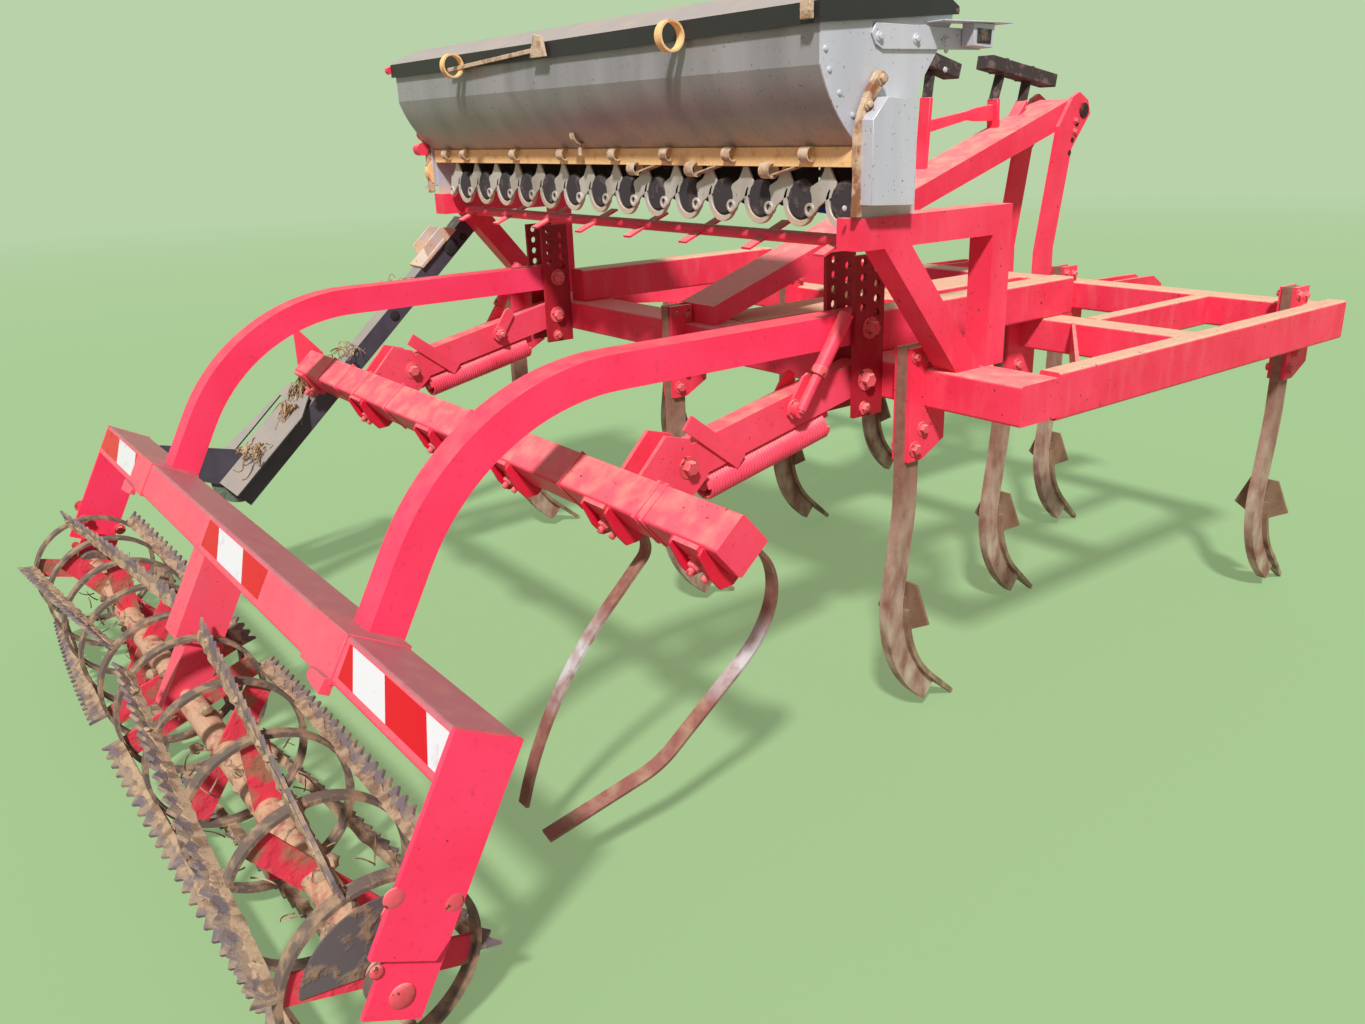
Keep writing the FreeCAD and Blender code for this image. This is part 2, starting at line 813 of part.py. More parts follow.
def build_arm_plates():
    """Pairs of perforated plates behind the rear beam, and the pins the arms hang from."""
    outline = rectangle(d.arm_plate_depth, d.arm_plate_top - d.arm_plate_bottom, None,
                        arm_plate_y, (d.arm_plate_top + d.arm_plate_bottom) / 2)
    holes = [(arm_plate_y + side * d.arm_hole_spread / 2,
              d.arm_hole_start + row * d.arm_hole_pitch - side * d.arm_hole_pitch / 4,
              d.arm_hole_radius)
             for row in range(int(d.arm_hole_rows.value)) for side in (1, -1)]
    holes.append((d.arm_pivot_y, d.arm_pivot_z, d.arm_pin_radius))
    holes.append((d.harrow_pivot_y, d.harrow_pivot_z, d.harrow_pin_radius))
    plate = pad("ArmPlate", outline, d.arm_plate_thickness, holes=holes)
    spots = [(side * d.arm_offset + across * arm_plate_spread, 0, 0)
             for side in (1, -1) for across in (1, -1)]
    finish(twin("ArmPlates", plate, spots), "arm_plates")
    length = 2 * arm_plate_spread + d.arm_plate_thickness
    pins = [rod_x(f"ArmPin{index}", d.arm_pin_radius, length, side * d.arm_offset,
                  d.arm_pivot_y, d.arm_pivot_z) for index, side in enumerate((1, -1))]
    finish(group("ArmPins", pins), "arm_pivot_pins")


def arm_outline():
    """Side view of a roller arm: level run, round bend and a foot square to the roller beam."""
    bend_angle = 90 - d.roller_tilt_angle
    steps = [("run", d.arm_nose + d.arm_level_run), ("left", d.arm_bend_radius, bend_angle)]
    start = (d.arm_pivot_y + d.arm_nose, d.arm_pivot_z, as_size(STRAIGHT))
    u, v, _ = strip(*start, steps, d.arm_depth)[1]
    foot = (u - d.roller_beam_y) * sin(d.roller_tilt_angle) + (v - roller_beam_z) * cos(d.roller_tilt_angle)
    steps.append(("run", foot))
    return strip(*start, steps, d.arm_depth)[0]


def build_roller_arms():
    """Two bent box arms from the perforated plates back to the roller beam."""
    bore = (d.arm_pivot_y, d.arm_pivot_z, d.arm_pin_radius + d.running_gap)
    arm = pad("RollerArm", arm_outline(), d.arm_width, holes=[bore])
    finish(twin("RollerArms", arm, both_sides(d.arm_offset)), "roller_arms")


# ---------------------------------------------------------------- roller beam and cage roller

roller_beam_z = (d.cage_radius + d.roller_axis_shift * sin(d.roller_tilt_angle)
                 + d.roller_axis_drop * cos(d.roller_tilt_angle))


def beam_spot(u, w):
    """Place a point given across (u) and up from (w) the roller beam's top, in the tilted frame."""
    return (d.roller_beam_y + u * cos(d.roller_tilt_angle) + w * sin(d.roller_tilt_angle),
            roller_beam_z - u * sin(d.roller_tilt_angle) + w * cos(d.roller_tilt_angle))


roller_axis_y, roller_axis_z = beam_spot(d.roller_axis_shift, -d.roller_axis_drop)


def build_roller_beam():
    """Tilted beam with its end plates, bearing plates, hubs and centre hanger."""
    y, z = beam_spot(as_size(0), -d.roller_beam_height / 2)
    finish(tube_x("RollerBeam", 2 * d.roller_beam_half, d.roller_beam_width, d.roller_beam_height,
                  0, y, z, -d.roller_tilt_angle), "roller_beam")
    half = d.roller_beam_width / 2
    end_outline = [corner(-half, -d.end_plate_drop), corner(half - d.end_plate_chamfer, -d.end_plate_drop),
                   corner(half, -d.end_plate_drop + d.end_plate_chamfer_rise), corner(half, 0),
                   corner(-half, 0)]
    end_plate = pad("EndPlate", end_outline, d.end_plate_thickness)
    end_x = d.roller_beam_half + d.end_plate_thickness / 2
    beam_at = (d.roller_beam_y, roller_beam_z)
    finish(twin("EndPlates", end_plate, [(side * end_x, *beam_at) for side in (1, -1)],
                -d.roller_tilt_angle), "roller_end_plates")
    bearing_x = d.roller_beam_half - d.end_plate_thickness / 2
    narrow = d.bearing_plate_width / 2
    shift = d.roller_axis_shift
    bearing_outline = [corner(shift - narrow, -d.bearing_plate_drop),
                       corner(shift + narrow, -d.bearing_plate_drop),
                       corner(shift + narrow, -d.bearing_plate_start),
                       corner(shift - narrow, -d.bearing_plate_start)]
    bore = (shift, -d.roller_axis_drop, d.stub_radius + d.running_gap)
    bearing = pad("BearingPlate", bearing_outline, d.end_plate_thickness, holes=[bore])
    finish(twin("BearingPlates", bearing, [(side * bearing_x, *beam_at) for side in (1, -1)],
                -d.roller_tilt_angle), "roller_bearing_plates")
    build_hubs(bearing_x - d.end_plate_thickness / 2)
    build_hanger(beam_at)


def ring_x(name, outer, inner, length):
    """Round sleeve along X about the origin."""
    return cut(name, rod_x(f"{name}_outer", outer, length), rod_x(f"{name}_bore", inner, 2 * length))


def build_hubs(plate_inner_x):
    """Bearing hubs inside the end plates."""
    hub = ring_x("Hub", d.hub_radius, d.stub_radius + d.running_gap, d.hub_length)
    hub_x = plate_inner_x - d.hub_length / 2
    finish(twin("Hubs", hub, [(side * hub_x, roller_axis_y, roller_axis_z) for side in (1, -1)]),
           "roller_end_hubs")


def build_hanger(beam_at):
    """Box hanger under the middle of the beam, with the centre bearing between its cheeks."""
    top, bottom = -d.roller_beam_height, -d.hanger_drop
    half = d.hanger_depth / 2
    post = pad("HangerPost", [corner(-half, bottom), corner(half, bottom),
                              corner(half, top), corner(-half, top)], d.hanger_width)
    shift = d.roller_axis_shift
    bore = (shift, -d.roller_axis_drop, d.stub_radius + d.running_gap)
    low = -(d.roller_axis_drop + d.hub_radius)
    lower = pad("HangerBearing", [corner(shift - d.hub_radius, low), corner(shift + d.hub_radius, low),
                                  corner(shift + d.hub_radius, bottom),
                                  corner(shift - d.hub_radius, bottom)],
                d.hanger_width - 2 * d.hanger_cheek, holes=[bore])
    hanger = fuse("Hanger", [post, lower])
    place(hanger, d.roller_split, *beam_at, -d.roller_tilt_angle)
    finish(hanger, "roller_hanger")


def build_cage(side, name):
    """One half of the split roller: shaft, hoops with flat spokes and slanting bars."""
    inner = d.cage_inner_end + side * d.roller_split
    outer = d.roller_beam_half - d.end_plate_thickness - d.hub_length - d.cage_end_gap
    length = outer - inner
    middle = side * (inner + length / 2)
    stub_inner = d.hanger_cheek / 2 + side * d.roller_split
    stub_outer = d.roller_beam_half
    tube = rod_x(f"Tube_{name}", d.shaft_radius, length, middle)
    stub_length = stub_outer - stub_inner
    stub = rod_x(f"Stub_{name}", d.stub_radius, stub_length, side * (stub_inner + stub_length / 2))
    shaft = fuse(f"Shaft_{name}", [tube, stub])
    finish(group(f"ShaftGroup_{name}", [shaft], 0, roller_axis_y, roller_axis_z),
           f"roller_shaft_{name}")
    hoops = [build_hoop(f"{name}{index}") for index in range(int(d.hoop_count.value))]
    pitch = (length - d.hoop_width) / (d.hoop_count - 1)
    for index, hoop in enumerate(hoops):
        x = side * (inner + d.hoop_width / 2 + index * pitch)
        place(hoop, x, 0, 0, d.spoke_start_angle + d.spoke_step_angle * index)
    finish(group(f"Hoops_{name}", hoops, 0, roller_axis_y, roller_axis_z), f"roller_hoops_{name}")
    bar = build_cage_bar(side, name, length, middle)
    links = []
    for index in range(int(d.cage_bar_count.value)):
        link = document.addObject("App::Link", f"CageBar_{name}{index}")
        link.LinkedObject = bar
        links.append(place(link, 0, 0, 0, as_size(index) * 360 / d.cage_bar_count))
    finish(group(f"CageBars_{name}", links, 0, roller_axis_y, roller_axis_z),
           f"roller_bars_{name}")


def build_hoop(name):
    """Flat hoop with one flat spoke across it, bored for the shaft."""
    inside = d.hoop_radius - d.hoop_thickness
    hoop = ring_x(f"Hoop{name}", d.hoop_radius, inside, d.hoop_width)
    spoke = box(f"Spoke{name}", d.spoke_thickness, 2 * inside + d.hoop_thickness, d.spoke_width,
                0, 0, -d.spoke_width / 2)
    whole = fuse(f"HoopWithSpoke{name}", [hoop, spoke])
    return cut(f"HoopBored{name}", whole, rod_x(f"HoopBore{name}", d.shaft_radius, 2 * d.hoop_width))


def build_cage_bar(side, name, length, middle):
    """Flat bar on edge outside the hoops, wound a little round the roller by a loft."""
    body = document.addObject("PartDesign::Body", f"CageBar_{name}")
    sections = []
    stations = 5
    height = d.cage_radius - d.hoop_radius - d.cage_bar_seat
    centre = d.cage_radius - height / 2
    for index in range(stations):
        share = index / (stations - 1)
        section = add_sketch(body, f"CageBar_{name}_section{index}", "YZ_Plane")
        trace(section, rectangle(d.cage_bar_thickness, height, None, 0, centre))
        x = middle + (share - 0.5) * length
        turn = (share - 0.5) * d.cage_twist_angle * side
        section.AttachmentOffset = Placement(Vector(), Rotation(Vector(0, 0, 1), turn.value))
        section.setExpression(".AttachmentOffset.Base.z", x.formula)
        section.setExpression(".AttachmentOffset.Rotation.Angle", turn.formula)
        sections.append(section)
    loft = body.newObject("PartDesign::AdditiveLoft", f"CageBar_{name}_loft")
    loft.Profile = sections[0]
    loft.Sections = sections[1:]
    loft.Ruled = True
    return body


# ---------------------------------------------------------------- spring harrow

rear_pin_y = d.harrow_pivot_y - d.harrow_arm_length * cos(d.harrow_arm_angle)
rear_pin_z = d.harrow_pivot_z - d.harrow_arm_length * sin(d.harrow_arm_angle)
harrow_bar_y = rear_pin_y - d.lug_run
harrow_bar_z = rear_pin_z - d.lug_sag
case_offset = d.roller_beam_half - d.case_inset
harrow_bar_left = case_offset - d.case_width / 2 - d.case_gap


def build_harrow_bar():
    """Square bar set nearly on its corner, with a spike at the end that stops short of the case."""
    length = d.harrow_bar_right + harrow_bar_left
    finish(tube_x("HarrowBar", length, d.harrow_bar_side, d.harrow_bar_side,
                  (d.harrow_bar_right - harrow_bar_left) / 2, harrow_bar_y, harrow_bar_z,
                  d.harrow_bar_angle), "harrow_bar")
    half = d.harrow_bar_side / 2
    outline = [corner(-half, 0), corner(0, -half), corner(half, -half + d.spike_step),
               corner(d.spike_shoulder, d.spike_step), corner(d.spike_reach, d.spike_height),
               corner(-half + d.spike_step, half - d.spike_step)]
    spike = pad("HarrowSpike", outline, d.spike_thickness)
    finish(group("HarrowSpikePlate", [spike], -(harrow_bar_left + d.spike_thickness / 2),
                 harrow_bar_y, harrow_bar_z, d.harrow_bar_angle), "harrow_spike")


def build_harrow_arms():
    """Arms from the perforated plates back to the lugs on the bar, with their pivot pins."""
    nose = d.harrow_arm_depth / 2
    bore = (0, 0, d.harrow_pin_radius + d.running_gap)
    rear = (-d.harrow_arm_length, 0, d.harrow_pin_radius)
    outline = rectangle(d.harrow_arm_length + 2 * nose, d.harrow_arm_depth, nose - d.harrow_arm_end_flat,
                        -d.harrow_arm_length / 2, 0)
    arm = pad("HarrowArm", outline, d.harrow_arm_width, holes=[bore, rear])
    spots = [(side * d.arm_offset, d.harrow_pivot_y, d.harrow_pivot_z) for side in (1, -1)]
    finish(twin("HarrowArms", arm, spots, d.harrow_arm_angle), "harrow_arms")
    pin_length = 2 * arm_plate_spread + d.arm_plate_thickness
    pins = [rod_x(f"HarrowPin{index}", d.harrow_pin_radius, pin_length, side * d.arm_offset,
                  d.harrow_pivot_y, d.harrow_pivot_z) for index, side in enumerate((1, -1))]
    finish(group("HarrowPins", pins), "harrow_pivot_pins")


def build_lugs():
    """Pointed lugs that stand on the bar either side of each arm, with their pins and link plates."""
    half = d.harrow_bar_side / 2
    roll = d.harrow_bar_angle
    pin_u = d.lug_run * cos(roll) + d.lug_sag * sin(roll)
    pin_w = d.lug_sag * cos(roll) - d.lug_run * sin(roll)
    outline = [corner(half - d.lug_foot, -half), corner(d.lug_shoulder, -d.lug_drop),
               corner(d.lug_toe, -d.lug_drop), corner(d.lug_reach, -d.lug_shoulder),
               corner(d.lug_peak, -d.lug_peak_drop), corner(half, -half)]
    lug = pad("Lug", outline, d.lug_thickness, holes=[(pin_u, pin_w, d.harrow_pin_radius)])
    spread = (d.harrow_arm_width + d.lug_thickness) / 2
    spots = [(side * d.arm_offset + across * spread, harrow_bar_y, harrow_bar_z)
             for side in (1, -1) for across in (1, -1)]
    finish(twin("Lugs", lug, spots, roll), "harrow_lugs")
    pins = [rod_x(f"LugPin{index}", d.harrow_pin_radius, 2 * spread + d.lug_thickness,
                  side * d.arm_offset, rear_pin_y, rear_pin_z) for index, side in enumerate((1, -1))]
    finish(group("LugPins", pins), "harrow_lug_pins")
    link = pad("LinkPlate", rectangle(d.link_plate_length, d.link_plate_width, None,
                                      d.link_plate_length / 2), d.link_plate_thickness)
    link_x = (d.harrow_arm_width + d.link_plate_thickness) / 2
    finish(twin("LinkPlates", link, [(side * d.arm_offset + link_x, rear_pin_y + d.link_plate_run,
                                      rear_pin_z + d.link_plate_rise) for side in (1, -1)],
                -d.link_plate_angle), "harrow_links")


def build_springs():
    """Tension springs under the arms: a plain closed roll tied to the arm and to the lugs."""
    rear = spring_anchor_run
    coil = rod_z("SpringRoll", d.spring_radius, d.spring_length)
    place(coil, 0, -d.spring_start - d.spring_length, -d.spring_drop, -90)
    tie = rod_z("SpringTie", d.spring_tie_radius, rear - d.spring_start - d.spring_length)
    place(tie, 0, -rear, -d.spring_drop, -90)
    cross = rod_x("SpringCross", d.spring_pin_radius, d.harrow_arm_width, 0, -rear, -d.spring_drop)
    ear_height = d.spring_drop - d.harrow_arm_depth / 2
    ear = box("SpringEar", d.lug_thickness, d.spring_ear_depth, ear_height, 0,
              -d.spring_start + d.spring_ear_depth / 2, -d.spring_drop)
    spring = fuse("Spring", [coil, tie, cross, ear])
    finish(twin("Springs", spring, both_sides(d.arm_offset, d.harrow_pivot_y, d.harrow_pivot_z),
                d.harrow_arm_angle), "harrow_springs")


spring_anchor_run = d.spring_start + d.spring_length + d.spring_tie_run


def build_rods():
    """Telescopic setting rods beside the roller arms, each bolted to its harrow arm."""
    rise, run = d.rod_head_z - d.rod_foot_z, d.rod_head_y - d.rod_foot_y
    length = root(rise * rise + run * run)
    rod_offset = d.arm_offset + d.arm_width / 2 + d.rod_side_gap + d.rod_sleeve_radius
    boss_length = rod_offset - d.arm_offset - d.harrow_arm_width / 2
    sleeve = rod_z("RodSleeve", d.rod_sleeve_radius, length * d.rod_sleeve_share,
                   length * (1 - d.rod_sleeve_share))
    inner = rod_z("RodInner", d.rod_radius, length)
    rods = []
    for side, name in ((1, "right"), (-1, "left")):
        boss = rod_x(f"RodBoss_{name}", d.rod_sleeve_radius, boss_length, -side * boss_length / 2)
        rod = fuse(f"Rod_{name}", [sleeve, inner, boss])
        rods.append(place(rod, side * rod_offset, d.rod_foot_y, d.rod_foot_z, slope(rise, run) - 90))
    finish(group("Rods", rods), "harrow_rods")


def rod_z(name, radius, length, z=0):
    """Upright round bar that starts at z."""
    item = document.addObject("Part::Cylinder", name)
    item.setExpression("Radius", as_size(radius).formula)
    item.setExpression("Height", as_size(length).formula)
    return place(item, 0, 0, z)


def build_clamps():
    """Clamps that wrap the lower rear corner of the bar; only some still hold a tine."""
    half = d.harrow_bar_side / 2
    outer = half + d.clamp_thickness
    outline = [corner(-outer, -outer), corner(half, -outer), corner(half, -half),
               corner(-half, -half), corner(-half, half), corner(-outer, half)]
    clamp = pad("Clamp", outline, d.clamp_width)
    spots = [(x, harrow_bar_y, harrow_bar_z)
             for x in (d.clamp_end_gap - harrow_bar_left, d.clamp_2, d.clamp_3, d.clamp_4,
                       d.long_tine_x, d.short_tine_x)]
    finish(twin("Clamps", clamp, spots, d.harrow_bar_angle), "harrow_clamps")


def build_spring_tines():
    """The two bent spring tines that are left: one sprung forward and skewed, one trailing."""
    seat = -(d.harrow_bar_side + d.spring_tine_thickness) / 2 - d.clamp_thickness
    skew_lift = d.spring_tine_width / 2 * sin(d.long_tine_skew_angle) + d.long_tine_ease
    long_outline, _ = strip(-d.long_tine_run, seat - skew_lift, 0, [
        ("run", d.long_tine_run), ("right", d.long_tine_loop, d.long_tine_turn_angle),
        ("run", d.long_tine_run), ("right", d.long_tine_bow, d.long_tine_sweep_angle),
        ("run", d.long_tine_leg), ("right", d.long_tine_heel, d.long_tine_kick_angle),
        ("run", d.long_tine_foot)], d.spring_tine_thickness)
    short_heading = -d.short_tine_dip_angle - d.harrow_bar_angle
    short_seat = seat + d.spring_tine_thickness / 2 * (1 + cos(short_heading))
    short_outline, _ = strip(0, short_seat, short_heading, [
        ("run", d.short_tine_run), ("right", d.short_tine_heel, d.short_tine_kick_angle),
        ("run", d.short_tine_leg), ("left", d.short_tine_bow, d.short_tine_sweep_angle)],
        d.spring_tine_thickness)
    tines = []
    for name, outline, x, skew in (("LongTine", long_outline, d.long_tine_x, d.long_tine_skew_angle),
                                   ("ShortTine", short_outline, d.short_tine_x, as_size(0))):
        tine = place(pad(name, outline, d.spring_tine_width), 0, 0, 0, d.harrow_bar_angle)
        tines.append(group(f"{name}Set", [tine], x, harrow_bar_y, harrow_bar_z, skew,
                           Vector(0, 1, 0)))
    finish(group("SpringTines", tines), "harrow_tines")


# ---------------------------------------------------------------- seed hopper

lid_base = d.hopper_rim + d.lid_rise
lid_rear = d.hopper_rear_y - d.lid_overhang
lid_front = d.hopper_front_y + d.lid_overhang
lid_half_span = (lid_front - lid_rear) / 2
lid_radius = lid_half_span * lid_half_span / (2 * d.lid_crown) + d.lid_crown / 2
lid_centre_z = lid_base + d.lid_crown - lid_radius
hopper_inside_length = 2 * (d.hopper_half_length - d.hopper_sheet)


def hopper_outline(inset):
    """Cross-section of the hopper, drawn inwards by an inset and past the rim by as much."""
    floor = d.hopper_floor + inset
    front_wall = d.hopper_floor_front - inset
    return [corner(d.hopper_floor_rear + inset, floor), corner(front_wall, floor),
            corner(front_wall, d.hopper_front_knee),
            corner(d.hopper_front_y - inset, d.hopper_rim + inset),
            corner(d.hopper_rear_y + inset, d.hopper_rim + inset),
            corner(d.hopper_rear_y + inset, d.hopper_rim - d.hopper_wall_drop,
                   d.hopper_bend_radius - inset)]


def build_hopper():
    """Folded trough, and the end plates that rise under the lid and run down to the stand."""
    outer = pad("HopperOuter", hopper_outline(as_size(0)), hopper_inside_length)
    inner = pad("HopperInner", hopper_outline(d.hopper_sheet), 2 * hopper_inside_length)
    finish(cut("HopperTrough", outer, inner), "hopper_trough")
    dome = lid_radius - d.lid_thickness / 2 - d.lid_gap
    half = (d.hopper_front_y - d.hopper_rear_y) / 2
    shoulder = lid_centre_z + root(dome * dome - half * half)
    outline = [corner(d.hopper_floor_rear, d.stand_top), corner(d.hopper_floor_front, d.stand_top),
               corner(d.hopper_floor_front, d.hopper_front_knee),
               corner(d.hopper_front_y, d.hopper_rim), corner(d.hopper_front_y, shoulder, dome),
               corner(d.hopper_rear_y, shoulder),
               corner(d.hopper_rear_y, d.hopper_rim - d.hopper_wall_drop, d.hopper_bend_radius),
               corner(d.hopper_floor_rear, d.hopper_floor)]
    plate = pad("HopperEnd", outline, d.hopper_sheet)
    end_x = d.hopper_half_length - d.hopper_sheet / 2
    finish(twin("HopperEnds", plate, both_sides(end_x)), "hopper_ends")


def build_lid():
    """Domed lid with end caps and a rear lip; it turns on pins near its front edge."""
    half_angle = slope(lid_half_span, lid_radius - d.lid_crown)
    outline, _ = strip(lid_rear, lid_base, half_angle, [("right", lid_radius, 2 * half_angle)],
                       d.lid_thickness)
    length = 2 * (d.hopper_half_length + d.lid_overhang)
    shell = pad("LidShell", outline, length)
    lip = box("LidLip", length, d.lid_thickness, d.lid_lip, 0, lid_rear, lid_base - d.lid_lip)
    cap = pad("LidCap", [corner(lid_rear, lid_base - d.lid_lip),
                         corner(lid_front, lid_base - d.lid_front_lip),
                         corner(lid_front, lid_base, lid_radius), corner(lid_rear, lid_base)],
              d.lid_thickness,
              holes=[(lid_pivot_y, lid_pivot_z, d.lid_pin_radius + d.running_gap)])
    cap_x = (length - d.lid_thickness) / 2
    caps = twin("LidCaps", cap, both_sides(cap_x))
    finish(fuse("Lid", [shell, lip, caps]), "hopper_lid")
    pin_length = d.lid_overhang + d.lid_thickness
    pin_x = d.hopper_half_length + pin_length / 2
    pins = [rod_x(f"LidPin{index}", d.lid_pin_radius, pin_length, side * pin_x, lid_pivot_y,
                  lid_pivot_z) for index, side in enumerate((1, -1))]
    finish(group("LidPins", pins), "lid_pivot_pins")
    build_latches()


lid_pivot_y = lid_front - d.lid_pivot_inset
lid_pivot_z = lid_base - d.lid_pivot_inset


def build_latches():
    """Curled flat-steel handles on the lid's rear lip."""
    curl = ring_x("LatchCurl", d.latch_radius, d.latch_radius - d.latch_thickness, d.latch_width)
    y = lid_rear - d.lid_thickness / 2 - d.latch_radius
    spots = [(x, y, lid_base - d.latch_drop) for x in (d.latch_right, d.latch_left)]
    finish(twin("Latches", curl, spots), "lid_latches")


def build_rail_and_units():
    """Dusty rail below the hopper, and the row of feed units that hang from it."""
    rail_y = (d.hopper_floor_rear + d.hopper_floor_front) / 2
    rail_z = d.hopper_floor - d.rail_height / 2
    depth = d.hopper_floor_front - d.hopper_floor_rear
    finish(tube_x("SeedRail", hopper_inside_length, depth, d.rail_height, 0, rail_y, rail_z), "seed_rail")
    top = d.hopper_floor - d.rail_height
    body_box = box("UnitBody", d.unit_width, d.unit_depth, d.unit_height / 2, 0, 0,
                   -d.unit_height / 2)
    wheel = rod_x("UnitWheel", d.disc_radius, d.unit_width, 0, -d.unit_depth / 4,
                  -d.unit_height / 2)
    unit = fuse("Unit", [body_box, wheel])
    span = hopper_inside_length - d.unit_width - 2 * d.unit_end_gap
    pitch = span / (d.unit_count - 1)
    spots = [(index * pitch - span / 2, rail_y - d.unit_depth / 4, top)
             for index in range(int(d.unit_count.value))]
    finish(twin("Units", unit, spots), "feed_units")
    shaft_y = rail_y + d.unit_depth / 3 + d.drive_shaft_radius
    finish(group("DriveShaft", [rod_x("FeedShaft", d.drive_shaft_radius, hopper_inside_length, 0, shaft_y,
                                      top - d.unit_height / 4)]), "feed_shaft")


# ---------------------------------------------------------------- hopper stand and spreader pipe

def build_stands():
    """Box-tube stands that carry the hopper's ends: a level arm, a post and a slanting brace."""
    tube = d.stand_tube
    post_height = d.stand_top - d.frame_top
    arm_length = d.stand_post_y + tube / 2 - d.stand_rear
    foot_y = d.stand_post_y - tube - d.stand_brace_gap
    under = d.stand_top - tube
    rise, run = under - d.frame_top, d.stand_brace_y - foot_y
    half = tube / 2
    arm = pad("StandArm", rectangle(arm_length, tube, None, d.stand_rear + arm_length / 2,
                                    under + tube / 2), tube)
    post = pad("StandPost", rectangle(tube, post_height, None, d.stand_post_y,
                                      d.frame_top + post_height / 2), tube)
    across = half * root(rise * rise + run * run) / rise
    brace = pad("StandBrace",
                [corner(foot_y - across, d.frame_top), corner(foot_y + across, d.frame_top),
                 corner(d.stand_brace_y + across, under), corner(d.stand_brace_y - across, under)],
                tube)
    stand = fuse("Stand", [arm, post, brace])
    finish(twin("Stands", stand, both_sides(stand_offset)), "hopper_stands")


def build_spreader():
    """Pipe under the feed units with slanting paddles across it."""
    length = 2 * stand_offset - d.stand_tube
    pipe = rod_x("Pipe", d.pipe_radius, length, 0, d.pipe_y, d.pipe_z)
    span = length - 2 * d.paddle_end_gap
    pitch = span / (d.paddle_count - 1)
    paddles = []
    for index in range(int(d.paddle_count.value)):
        paddle = pad(f"Paddle{index}", rectangle(d.paddle_length, d.paddle_thickness), d.paddle_width)
        paddles.append(place(paddle, index * pitch - span / 2, d.pipe_y, d.pipe_z,
                             d.paddle_angle))
    finish(fuse("Spreader", [pipe] + paddles), "spreader_pipe")


# ---------------------------------------------------------------- headstock and hitch

def build_headstock():
    """Two leaning mast plates on the front beam's front face, braced back to the rear beam."""
    half = d.mast_depth / 2
    head_y, head_z = d.mast_head_y, d.mast_head_z
    beam_bottom = d.frame_top - d.beam_height
    outline = [corner(front_beam_front, beam_bottom),
               corner(front_beam_front + d.mast_foot_reach, beam_bottom),
               corner(front_beam_front + d.mast_waist_reach, d.frame_top + d.mast_waist_rise),
               corner(head_y - d.mast_throat_inset, head_z - d.mast_throat_drop),
               corner(head_y + half, head_z - d.mast_chin_drop),
               corner(head_y + half - d.mast_brow_inset, head_z + d.mast_brow_rise),
               corner(head_y - d.mast_crown_inset, head_z + d.mast_crown),
               corner(head_y - half - d.mast_nape_inset, head_z + d.mast_nape_rise),
               corner(head_y - d.mast_shoulder_inset - half, head_z - d.mast_shoulder_drop),
               corner(front_beam_front, d.frame_top + d.mast_heel_rise)]
    plate = pad("MastPlate", outline, d.mast_plate,
                holes=[(d.top_pin_y, d.top_pin_z, d.top_pin_radius)])
    finish(twin("MastPlates", plate, both_sides(d.mast_offset)), "mast_plates")
    build_brace(half)


def build_brace(half):
    """Wide box brace between the mast plates, from their heads down to the rear beam."""
    foot_y, foot_z = d.brace_foot_y, d.frame_top
    head_y, head_z = d.mast_head_y - half, d.mast_head_z - d.brace_height / 2
    rise, run = head_z - foot_z, head_y - foot_y
    across = d.brace_height * root(rise * rise + run * run) / run
    head_top = head_z + across * d.brace_head_share
    outline = [corner(foot_y, foot_z), corner(foot_y + d.brace_foot_run, foot_z),
               corner(head_y, head_top - across), corner(head_y, head_top),
               corner(foot_y, foot_z + d.brace_foot_rise)]
    finish(pad("Brace", outline, 2 * d.mast_offset - d.mast_plate), "mast_brace")


def build_hitch():
    """Pairs of ears on the front beam, and the lower link pins that stand out beyond them."""
    outline = [corner(front_beam_front, d.frame_top - d.beam_height),
               corner(d.hitch_pin_y, d.hitch_pin_z - d.ear_under),
               corner(d.hitch_pin_y + d.hitch_reach, d.hitch_pin_z - d.ear_low),
               corner(d.hitch_pin_y + d.hitch_reach, d.hitch_pin_z + d.ear_high),
               corner(d.hitch_pin_y, d.hitch_pin_z + d.ear_over),
               corner(front_beam_front, d.frame_top)]
    ear = pad("HitchEar", outline, d.hitch_plate,
              holes=[(d.hitch_pin_y, d.hitch_pin_z, d.hitch_shoulder_radius)])
    spread = (d.hitch_gap + d.hitch_plate) / 2
    spots = [(side * d.hitch_offset + across * spread, 0, 0)
             for side in (1, -1) for across in (1, -1)]
    finish(twin("HitchEars", ear, spots), "hitch_ears")
    shoulder_length = 2 * spread + d.hitch_plate
    pin_x = d.hitch_offset + (shoulder_length + d.hitch_pin_length) / 2
    pins = []
    for side, name in ((1, "right"), (-1, "left")):
        shoulder = rod_x(f"HitchShoulder_{name}", d.hitch_shoulder_radius, shoulder_length,
                         side * d.hitch_offset)
        pin = rod_x(f"HitchPin_{name}", d.hitch_pin_radius, d.hitch_pin_length, side * pin_x)
        pins.append(fuse(f"LowerLinkPin_{name}", [shoulder, pin]))
    finish(group("HitchPins", pins, 0, d.hitch_pin_y, d.hitch_pin_z), "lower_link_pins")


# ---------------------------------------------------------------- seeder drive case

